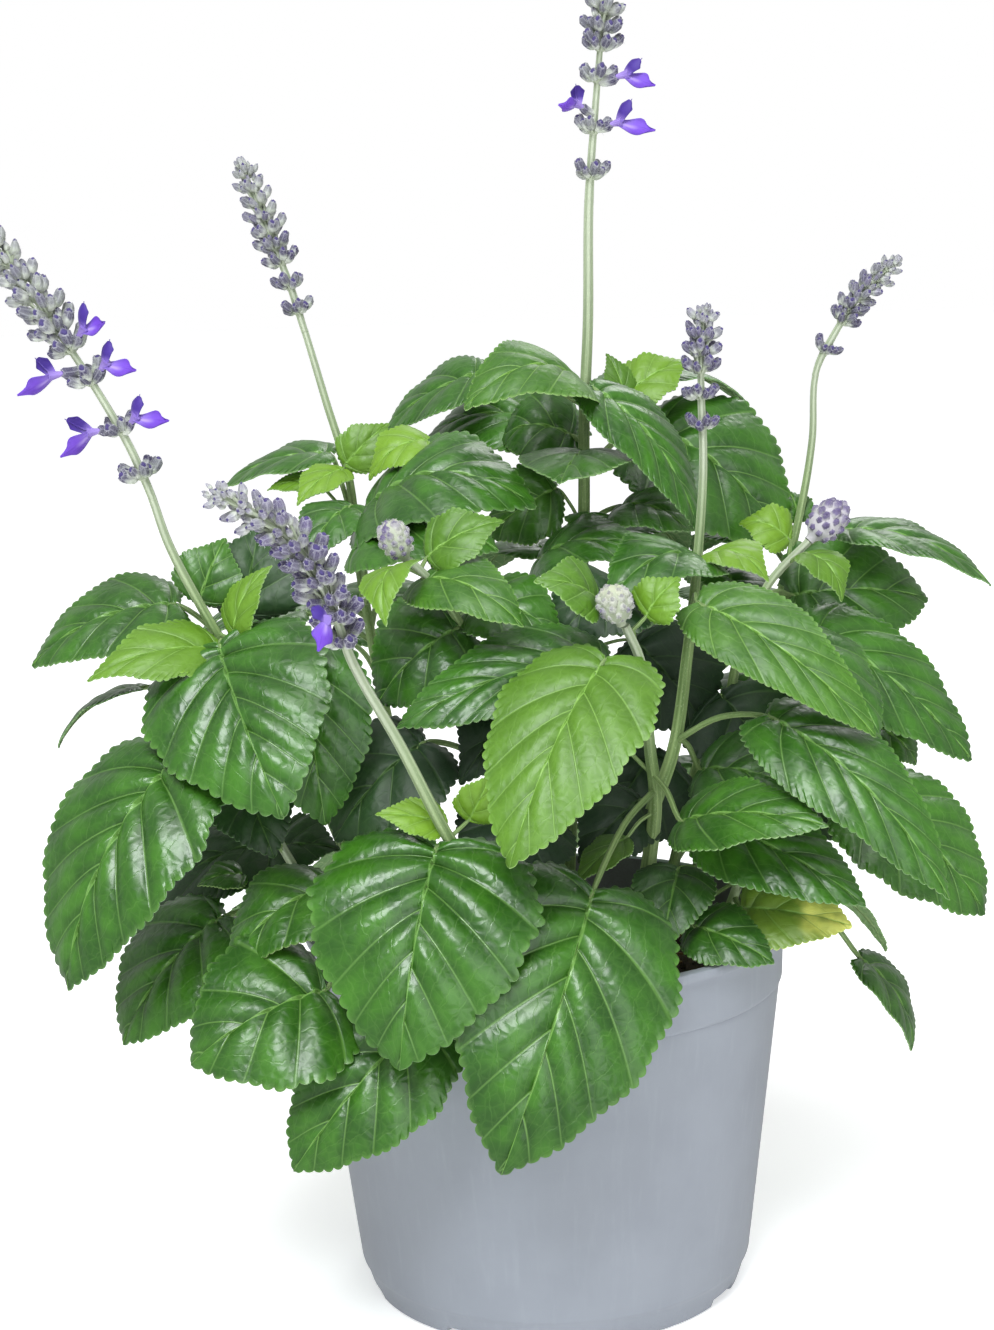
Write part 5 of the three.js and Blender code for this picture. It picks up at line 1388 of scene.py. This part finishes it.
def leaf_under_finish(looks):
    """The matt underside, paler, with raised veins, darker as painted shade on shaded leaves."""
    finish = Finish("leaf_underside")
    grain = finish.note("grain")
    youth, fading, part = finish.note("tone").split()
    veins = vein_masks(finish, grain, youth, part)[-1]
    shaded = (0 - fading).clipped()
    cloud = finish.noise(grain, 0.09, 3)
    colour = finish.layered(
        looks.under_mature,
        (youth, looks.under_young),
        (cloud.rise(0.35, 0.75) * 0.3, CLOUDED_UNDERSIDE),
        (fading.clipped() * 0.6, looks.faded),
        # painted shade: shaded leaves go darker underneath, and their veins fade with it
        (shaded * 0.6, SHADED_UNDERSIDE),
        (strongest(veins, (0.35, 0.4, 0.7, 0.8)) * (1 - shaded * 0.7), UNDERSIDE_VEIN))
    net, cross_vein, side_vein, _ = veins
    return finish.close(
        Base_Color=colour,
        Roughness=0.72 + cloud * 0.15,
        Normal=finish.relief(net * 0.5 + cross_vein * 0.3 + side_vein * 0.6, 0.7, 0.4),
        Specular_IOR_Level=0.35)


def stem_finish(looks):
    """Pale green stems, ribbed along their length and slightly downy, with painted shade in the channels
    between the ribs.
    """
    finish = Finish("stem")
    grain = finish.note("grain")
    _, part, is_stem = finish.note("tone").split()
    streak = finish.drawn_noise(grain, (0.03, 2.2, 1.0), 3)
    down = finish.drawn_noise(grain, (1.4, 5.0, 1.0), 2)
    rib = ((grain.split()[1] * 4 + math.pi / 2).sine() * 0.5 + 0.5).rise(0.1, 0.7)
    colour = finish.layered(
        looks.stem_dark,
        (streak.rise(0.3, 0.7), looks.stem_light),
        (is_stem * part.rise(0.5, 1.0) * 0.8, looks.flower_stalk),
        (down.rise(0.55, 0.75) * 0.35, STEM_DOWN),
        # painted shade: darker green in the channels between the ribs
        ((1 - rib) * 0.35, looks.stem_dark))
    return finish.close(Base_Color=colour, Roughness=0.6 + down * 0.2,
                        Normal=finish.relief(streak * 0.5 + down * 0.3 + rib * 0.6, 0.7, 0.3))


def calyx_finish(looks):
    """Felted calyces: grey-green at the foot, lilac towards a dark violet mouth."""
    finish = Finish("calyx_felt")
    youth, rise, inside = finish.note("tone").split()
    lilac, pick, hair = finish.note("lay").split()
    grain = finish.note("grain")
    angle = grain.split()[1]
    patch = finish.drawn_noise(grain, (0.5, 0.8, 1.0), 3)
    felt = finish.drawn_noise(grain, (2.5, 7.0, 1.0), 3)
    middle = finish.mix(lilac.rise(0.0, 1.0), looks.calyx_green, looks.calyx_body)
    pale = (pick.rise(0.35, 0.8) * 0.85).at_least(youth.rise(0.45, 0.95) * 0.7) * (1 - rise * 0.4)
    dark = (1 - pick).rise(0.45, 0.8) * (rise + patch * 0.4 - 0.2).rise(0.1, 0.5)
    dark_tip = (rise + patch * 0.7 - 0.35).rise(0.42, 0.8)
    dark_tip = dark_tip * (pick * 0.8 + lilac * 0.35).rise(0.2, 0.8)
    dark_back = angle.sine().rise(-0.5, 0.6) * rise.rise(0.2, 0.6)
    dark_back = dark_back * (lilac * 0.5 + pick * 0.35).clipped()
    ribs = (angle * 6).sine() * 0.5 + 0.5
    # white felt in noise and along the ribs, and a white rim on the lobes that is partly painted
    # highlight
    felt_and_rim_highlight = strongest((felt.rise(0.48, 0.68), ribs.rise(0.7, 1.0), rise.rise(0.86, 0.96)),
                     (0.28, 0.2, 0.35))
    colour = finish.layered(
        looks.calyx_foot,
        ((rise + patch * 0.5 - 0.25).rise(0.2, 0.7), middle),
        (patch.rise(0.46, 0.62) * 0.6 * (1 - youth * 0.5), looks.calyx_slate),
        (pale, looks.calyx_pale),
        (dark * (1 - youth * 0.6) * 0.85, looks.calyx_mouth),
        (dark_tip.at_least(dark_back) * (1 - youth * 0.7), looks.calyx_mouth),
        (felt_and_rim_highlight, looks.felt),
        (inside * 0.9, looks.calyx_bud),
        (hair, looks.felt))
    return finish.close(Base_Color=colour, Roughness=0.8 + felt * 0.15,
                        Normal=finish.relief(felt * 0.6 + ribs * 0.4, 0.7, 0.25),
                        Sheen_Weight=0.18, Sheen_Roughness=0.4, Sheen_Tint=(0.86, 0.86, 0.92))


def bud_finish(looks):
    """Whitish woolly buds with a breath of lilac, darker towards the foot of each scale as painted shade
    in the gaps between them.
    """
    finish = Finish("bud_felt")
    youth, rise, inside = finish.note("tone").split()
    lilac, pick, hair = finish.note("lay").split()
    grain = finish.note("grain")
    felt = finish.drawn_noise(grain, (2.5, 6.0, 1.0), 3)
    patch = finish.drawn_noise(grain, (0.6, 0.9, 1.0), 2)
    dotted = (lilac + pick * 0.6 - youth * 0.2).rise(0.3, 1.1)
    colour = finish.layered(
        # painted shade: each scale darkens towards its foot, in the gaps between the scales
        looks.shaded_bud_foot,
        (rise.rise(0.3, 0.95), looks.bud_tip),
        (youth.rise(0.6, 0.95) * (1 - lilac).clipped() * 0.6, YOUNG_BUD),
        (felt.rise(0.45, 0.7) * 0.4, BUD_WOOL),
        (lilac.rise(0.4, 1.0) * 0.8, LILAC_BUD),
        (dotted * (rise + patch * 0.6 - 0.3).rise(0.5, 0.85) * 0.9, looks.bud_dot),
        (inside * (dotted * 0.5 + 0.3), looks.bud_dot),
        (hair, looks.felt))
    return finish.close(Base_Color=colour, Roughness=0.85 + felt * 0.1,
                        Normal=finish.relief(felt, 0.8, 0.3),
                        Sheen_Weight=0.4, Sheen_Roughness=0.5, Sheen_Tint=(0.92, 0.92, 0.9))


def petal_finish(looks):
    """Violet petals: a pale tube, a dark velvety hood and a brighter, veined lower lip."""
    finish = Finish("petal_violet")
    rise, kind, edge = finish.note("tone").split()
    grain = finish.note("grain")
    vein = finish.drawn_noise(grain, (0.25, 2.6, 1.0), 2)
    velvet = finish.drawn_noise(grain, (3.0, 6.0, 1.0), 2)
    hood = finish.mix(rise.rise(0.05, 0.45), looks.petal_tube, looks.petal_hood)
    lip = finish.layered(
        looks.petal_tube,
        (rise.rise(0.0, 0.5), looks.petal_lip),
        ((1 - edge.rise(0.0, 0.4)) * (1 - rise.rise(0.3, 0.6)) * 0.4, PETAL_GUIDE),
        (edge.rise(0.45, 1.0) * 0.35, looks.petal_hood))
    colour = finish.layered(hood, (kind.rise(0.3, 0.7), lip),
                            (vein.rise(0.55, 0.75) * 0.35, looks.petal_hood))
    return finish.close(Base_Color=colour, Roughness=0.5 + velvet * 0.2,
                        Normal=finish.relief(vein * 0.5 + velvet * 0.5, 0.5, 0.2),
                        Sheen_Weight=0.3, Sheen_Roughness=0.4, Sheen_Tint=(0.7, 0.6, 1.0))


def pot_finish(looks):
    """Matt grey moulded plastic, slightly scuffed at its foot, with painted shade on the inside wall
    above the mix.
    """
    finish = Finish("pot_plastic")
    grain = finish.note("grain")
    height, reach, _ = finish.note("tone").split()
    cloud, fine = finish.noise(grain, 0.03, 4), finish.noise(grain, 1.6, 2)
    drawn = finish.drawn_noise(grain, (0.35, 0.35, 0.02), 3)
    worn = (1 - height.rise(0.0, 9.0)) * fine.rise(0.48, 0.7)
    inside = (1 - reach.rise(*INNER_WALL_REACH)) * height.rise(*INNER_WALL_HEIGHT)
    colour = finish.layered(
        looks.plastic_dark,
        (cloud.rise(0.3, 0.7), looks.plastic),
        (drawn.rise(0.5, 0.8) * 0.05, MOULD_STREAK),
        (worn * 0.35, WORN_PLASTIC),
        (cloud.rise(0.55, 0.8) * fine.rise(0.5, 0.8) * 0.06, POT_DUST),
        # painted shade on the inside wall above the mix
        (inside * (0.55 + fine * 0.3), SHADED_INNER_WALL))
    return finish.close(Base_Color=colour, Roughness=0.42 + cloud * 0.1 + fine * 0.08,
                        Normal=finish.relief(fine * 0.5 + drawn * 0.5, 0.25, 0.2),
                        Specular_IOR_Level=0.45)


def soil_finish(looks):
    """Dark peat with brown fibre and lighter bark."""
    finish = Finish("potting_mix")
    grain = finish.note("grain")
    pick, _, crumb = finish.note("tone").split()
    clod, grit = finish.noise(grain, 0.25, 5, 0.65), finish.noise(grain, 1.8, 3)
    colour = finish.layered(
        looks.peat_dark,
        (clod.rise(0.35, 0.65), looks.peat),
        (grit.rise(0.6, 0.75) * 0.5, PEAT_FIBRE),
        (crumb * pick.rise(0.4, 0.9) * 0.8, looks.bark))
    return finish.close(Base_Color=colour, Roughness=0.88 + grit * 0.1,
                        Normal=finish.relief(clod * 0.6 + grit * 0.4, 1.0, 1.0))


def floor_finish(looks):
    """A pale studio floor with a faint unevenness."""
    finish = Finish("studio_floor")
    where = finish.node("ShaderNodeTexCoord", {}, {}, "Object")
    cloud = finish.noise(where, 0.8, 2)
    colour = finish.mix(cloud.rise(0.3, 0.7) * 0.2, looks.floor, FLOOR_CLOUD)
    return finish.close(Base_Color=colour, Roughness=0.8, Specular_IOR_Level=0.2,
                        Emission_Color=looks.floor, Emission_Strength=0.5)


# ---- settings ----------------------------------------------------------------------------------
def tint(name, description, colour):
    return FloatVectorProperty(name=name, description=description, subtype="COLOR", size=3,
                               min=0, max=1, default=colour)


def strength(name, description, value, unit="NONE"):
    return FloatProperty(name=name, description=description, default=value, min=0, unit=unit)


class SalviaPotSettings(bpy.types.PropertyGroup):
    """Sizes and colours of the pot and its filling."""

    height: FloatProperty(name="Height", description="Height of the pot", default=POT_HIGH[2],
                          unit="LENGTH")
    lip_radius: FloatProperty(name="Lip radius", description="Radius of the pot's lip",
                              default=round(POT_HIGH[0], 4), unit="LENGTH")
    wall: FloatProperty(name="Wall", description="Thickness of the pot's wall", default=1.6 * MM,
                        unit="LENGTH")
    sides: IntProperty(name="Sides", description="Flat sides of the round pot", default=176, min=24)
    crumbs: IntProperty(name="Crumbs", description="Bark crumbs in the mix", default=420, min=0)
    plastic: tint("Plastic", "Colour of the pot", shade(142, 147, 156))
    plastic_dark: tint("Plastic, shaded", "Darker clouds in the plastic", shade(136, 141, 150))
    peat: tint("Peat", "Colour of the mix", shade(66, 49, 36))
    peat_dark: tint("Peat, dark", "Damp parts of the mix", shade(34, 25, 19))
    bark: tint("Bark", "Colour of the crumbs", shade(124, 92, 60))


class SalviaLeafSettings(bpy.types.PropertyGroup):
    """Colours of leaves and stems."""

    mature_dark: tint("Mature, dark", "Darkest green of grown leaves", shade(34, 76, 15))
    mature_light: tint("Mature, light", "Lighter green of grown leaves", shade(56, 106, 24))
    young_dark: tint("Young, dark", "Darker green of young leaves", shade(48, 93, 16))
    young_light: tint("Young, light", "Brightest green of young leaves", shade(68, 113, 27))
    newest: tint("Newest", "Yellow-green of the smallest leaves", shade(118, 158, 36))
    # painted shade: the dark green laid in the grooves along the veins
    groove_shade: tint("Groove", "Green in the grooves along the veins", shade(18, 48, 12))
    vein_mature: tint("Veins, mature", "Veins on grown leaves", shade(120, 164, 84))
    vein_young: tint("Veins, young", "Veins on young leaves", shade(146, 190, 92))
    faded: tint("Faded", "Yellowing leaf", shade(222, 226, 112))
    under_mature: tint("Underside, mature", "Underside of grown leaves", shade(92, 130, 84))
    under_young: tint("Underside, young", "Underside of young leaves", shade(140, 176, 100))
    stem_dark: tint("Stem, dark", "Darker ribs of the stems", shade(92, 120, 62))
    stem_light: tint("Stem, light", "Lighter ribs of the stems", shade(144, 168, 108))
    flower_stalk: tint("Flower stalk", "Pale stalk under the flowers", shade(184, 190, 172))


class SalviaFlowerSettings(bpy.types.PropertyGroup):
    """Colours of the flower spikes, heads and petals."""

    calyx_foot: tint("Calyx foot", "Colour where a calyx starts", shade(178, 187, 166))
    calyx_green: tint("Calyx, green", "Middle of a grey-green calyx", shade(142, 148, 138))
    calyx_body: tint("Calyx body", "Middle of a calyx", shade(136, 124, 166))
    calyx_pale: tint("Calyx, pale", "Whitish green of the woolliest calyces", shade(206, 210, 198))
    calyx_mouth: tint("Calyx mouth", "Colour at the lobes of a calyx", shade(47, 39, 76))
    calyx_slate: tint("Calyx slate", "Darker clouds on a calyx", shade(86, 84, 98))
    calyx_bud: tint("Calyx bud", "The closed bud in the mouth of a calyx", shade(58, 42, 112))
    felt: tint("Felt", "Fine hairs on a calyx", shade(220, 220, 226))
    # painted shade: the darker grey-green at the foot of each scale, in the gaps between them
    shaded_bud_foot: tint("Bud foot", "Foot of a closed bud", shade(158, 166, 142))
    bud_tip: tint("Bud tip", "Tip of a closed bud", shade(180, 182, 172))
    bud_dot: tint("Bud dot", "The violet scales of a closed bud", shade(92, 78, 124))
    petal_tube: tint("Petal tube", "The pale tube of a flower", shade(140, 116, 196))
    petal_hood: tint("Petal hood", "The dark hood of a flower", shade(58, 31, 130))
    petal_lip: tint("Petal lip", "The bright lower lip of a flower", shade(104, 60, 186))


class SalviaStudioSettings(bpy.types.PropertyGroup):
    """The studio round the plant."""

    floor: tint("Floor", "Colour of the floor", (0.93, 0.93, 0.93))
    key_power: strength("Key light", "Strength of the key light", 22.5, unit="POWER")
    fill_power: strength("Fill light", "Strength of the fill light", 9.5, unit="POWER")
    back_power: strength("Back light", "Strength of the light from behind", 8.0, unit="POWER")
    sky: strength("Sky", "Strength of the even light from all round", 0.19)
    window: strength("Window", "Strength of the broad light from above", 1.35)


# ---- operators ---------------------------------------------------------------------------------
BODY = "root"


def settle(piece, slots, *nodes):
    """Ties a piece to the part: its body and the solids it stands for; the slots of its finish are not
    used.
    """
    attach(piece, BODY)
    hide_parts(*nodes)


def chances(number):
    return np.random.default_rng(number)


class SALVIA_OT_make_pot(bpy.types.Operator):
    """Make the grey nursery pot"""

    bl_idname = "salvia.make_pot"
    bl_label = "Pot"

    def execute(self, context):
        settings = context.scene.salvia_pot
        piece = pot_shape(settings).make("nursery_pot", [pot_finish(settings)], 40)
        settle(piece, "pot_plastic", "pot")
        return {"FINISHED"}


class SALVIA_OT_make_soil(bpy.types.Operator):
    """Make the potting mix with its crumbs"""

    bl_idname = "salvia.make_soil"
    bl_label = "Potting mix"

    def execute(self, context):
        settings = context.scene.salvia_pot
        shape = soil_shape(chances(11), settings.crumbs)
        piece = shape.make("potting_mix", [soil_finish(settings)], 60)
        settle(piece, "potting_mix", "soil")
        return {"FINISHED"}


class SALVIA_OT_make_leafy_stems(bpy.types.Operator):
    """Make every stem with its leaves"""

    bl_idname = "salvia.make_leafy_stems"
    bl_label = "Leafy stems"

    def execute(self, context):
        looks = context.scene.salvia_leaves
        finishes = [leaf_upper_finish(looks), leaf_under_finish(looks), stem_finish(looks)]
        for number, name in enumerate(name for name in STEMS if name != "fork"):
            shape = leafy_stem(name, chances(100 + number))
            piece = shape.make("stem_and_leaves_" + name, finishes)
            settle(piece, "leaf_green", "leafy_stem_" + name)
        return {"FINISHED"}


class SALVIA_OT_make_flower_spikes(bpy.types.Operator):
    """Make the flower spikes with their calyces"""

    bl_idname = "salvia.make_flower_spikes"
    bl_label = "Flower spikes"

    def execute(self, context):
        looks = context.scene.salvia_flowers
        finishes = [calyx_finish(looks), stem_finish(context.scene.salvia_leaves)]
        for number, name in enumerate(SPIKES):
            piece = flower_spike(name, chances(200 + number)).make("calyces_" + name, finishes, 70)
            settle(piece, "calyx_felt", "flower_spike_" + name)
        return {"FINISHED"}


class SALVIA_OT_make_open_flowers(bpy.types.Operator):
    """Make the open violet flowers"""

    bl_idname = "salvia.make_open_flowers"
    bl_label = "Open flowers"

    def execute(self, context):
        finish = petal_finish(context.scene.salvia_flowers)
        for number, flower in enumerate(OPEN_FLOWERS):
            piece = open_flower(flower).make(f"petals_{number + 1}", [finish], 60)
            settle(piece, "petal_violet", f"open_flower_{number + 1}")
        return {"FINISHED"}


class SALVIA_OT_make_bud_heads(bpy.types.Operator):
    """Make the closed flower heads"""

    bl_idname = "salvia.make_bud_heads"
    bl_label = "Closed heads"

    def execute(self, context):
        finish = bud_finish(context.scene.salvia_flowers)
        for number, name in enumerate(HEADS):
            piece = bud_head(name, chances(300 + number)).make("closed_head_" + name, [finish], 70)
            settle(piece, "bud_felt", "bud_head_" + name)
        return {"FINISHED"}


# the studio, in metres: name, place, size and colour of each lamp
LIGHTS = (
    ("key", (-0.35, -1.1, 1.4), 0.75, (0.94, 0.98, 1.0)),
    ("fill", (0.55, -1.6, 0.6), 1.4, (0.96, 0.99, 1.0)),
    ("back", (0.5, 1.3, 1.4), 0.9, (1.0, 1.0, 1.0)),
)
LIGHT_TARGET = (0.0, 0.0, 0.2)
WINDOW_WAY = (0.05, 0.45, -1.0)
WINDOW_SPREAD = 40
SKY_COLOUR = (0.96, 0.98, 1.0)
PAPER_IN_REFLECTIONS = 0.6
FLOOR_SIZE = 14.0
FLOOR_DROP = 0.0003
NEAREST_SEEN = 0.01
# the camera: place in mm, tilt and roll in radians, focal length as a share of the picture's height
CAMERA_PLACE = (-14.7, -842.0, 376.0)
CAMERA_TILT = 0.184
CAMERA_ROLL = -0.03
FOCAL_SHARE = 2500 / 1330
SENSOR = 36.0


class SALVIA_OT_make_stage(bpy.types.Operator):
    """Make the floor, the lights and the camera"""

    bl_idname = "salvia.make_stage"
    bl_label = "Studio"

    def execute(self, context):
        scene, studio = context.scene, context.scene.salvia_studio
        bpy.ops.mesh.primitive_grid_add(x_subdivisions=8, y_subdivisions=8, size=FLOOR_SIZE,
                                        location=(0, 0, -FLOOR_DROP))
        floor = context.object
        floor.name = "studio_floor"
        floor.data.materials.append(floor_finish(studio))
        floor.visible_glossy = False

        def hang(light, place, way):
            lamp = bpy.data.objects.new(light.name, light)
            lamp.location = place
            lamp.rotation_euler = Vector(way).to_track_quat("-Z", "Y").to_euler()
            scene.collection.objects.link(lamp)

        for name, place, size, colour in LIGHTS:
            light = bpy.data.lights.new(name, "AREA")
            light.shape = "DISK"
            light.size = size
            light.energy = getattr(studio, name + "_power")
            light.color = colour
            hang(light, place, Vector(LIGHT_TARGET) - Vector(place))
        sun = bpy.data.lights.new("window", "SUN")
        sun.energy = studio.window
        sun.angle = math.radians(WINDOW_SPREAD)
        hang(sun, (0, 0, 0), WINDOW_WAY)

        # the camera sees white paper, reflections see part of it, and all else is lit by the sky
        world = bpy.data.worlds.new("even_sky")
        world.use_nodes = True
        tree = world.node_tree
        sky = tree.nodes["Background"]
        sky.inputs["Color"].default_value = (*SKY_COLOUR, 1.0)
        sky.inputs["Strength"].default_value = studio.sky
        paper = tree.nodes.new("ShaderNodeBackground")
        paper.inputs["Color"].default_value = (1.0, 1.0, 1.0, 1.0)
        seen = tree.nodes.new("ShaderNodeLightPath")
        either = tree.nodes.new("ShaderNodeMixShader")
        share = tree.nodes.new("ShaderNodeMath")
        share.operation = "MULTIPLY_ADD"
        share.inputs[1].default_value = PAPER_IN_REFLECTIONS
        for start, end in ((seen.outputs["Is Glossy Ray"], share.inputs[0]),
                           (seen.outputs["Is Camera Ray"], share.inputs[2]),
                           (share.outputs[0], either.inputs[0]), (sky.outputs[0], either.inputs[1]),
                           (paper.outputs[0], either.inputs[2]),
                           (either.outputs[0], tree.nodes["World Output"].inputs["Surface"])):
            tree.links.new(start, end)
        scene.world = world
        scene.view_settings.view_transform = "Standard"

        lens = bpy.data.cameras.new("view")
        lens.sensor_width = SENSOR
        lens.sensor_fit = "AUTO"
        lens.lens = FOCAL_SHARE * SENSOR
        lens.clip_start = NEAREST_SEEN
        camera = bpy.data.objects.new("view", lens)
        upright = Matrix.Rotation(math.pi / 2 - CAMERA_TILT, 4, "X")
        place = Matrix.Translation([value * MM for value in CAMERA_PLACE])
        camera.matrix_world = place @ upright @ Matrix.Rotation(CAMERA_ROLL, 4, "Z")
        scene.collection.objects.link(camera)
        scene.camera = camera
        return {"FINISHED"}


class SALVIA_PT_panel(bpy.types.Panel):
    """The salvia's settings and pieces"""

    bl_label = "Potted Salvia"
    bl_idname = "SALVIA_PT_panel"
    bl_space_type = "VIEW_3D"
    bl_region_type = "UI"
    bl_category = "Salvia"

    def draw(self, context):
        for operator in OPERATORS:
            self.layout.operator(operator.bl_idname, text=operator.bl_label)
        for group in SETTINGS:
            box = self.layout.box()
            for name in SETTINGS[group].__annotations__:
                box.prop(getattr(context.scene, group), name)


SETTINGS = {
    "salvia_pot": SalviaPotSettings,
    "salvia_leaves": SalviaLeafSettings,
    "salvia_flowers": SalviaFlowerSettings,
    "salvia_studio": SalviaStudioSettings,
}
OPERATORS = (
    SALVIA_OT_make_stage,
    SALVIA_OT_make_pot,
    SALVIA_OT_make_soil,
    SALVIA_OT_make_leafy_stems,
    SALVIA_OT_make_flower_spikes,
    SALVIA_OT_make_open_flowers,
    SALVIA_OT_make_bud_heads,
)


def register():
    for kind in (*SETTINGS.values(), *OPERATORS, SALVIA_PT_panel):
        bpy.utils.register_class(kind)
    for name, kind in SETTINGS.items():
        setattr(bpy.types.Scene, name, PointerProperty(type=kind))


def unregister():
    for name in SETTINGS:
        delattr(bpy.types.Scene, name)
    for kind in reversed((*SETTINGS.values(), *OPERATORS, SALVIA_PT_panel)):
        bpy.utils.unregister_class(kind)


def main():
    register()
    bpy.ops.salvia.make_stage()
    bpy.ops.salvia.make_pot()
    bpy.ops.salvia.make_soil()
    bpy.ops.salvia.make_leafy_stems()
    bpy.ops.salvia.make_flower_spikes()
    bpy.ops.salvia.make_open_flowers()
    bpy.ops.salvia.make_bud_heads()


if __name__ == "__main__":
    main()
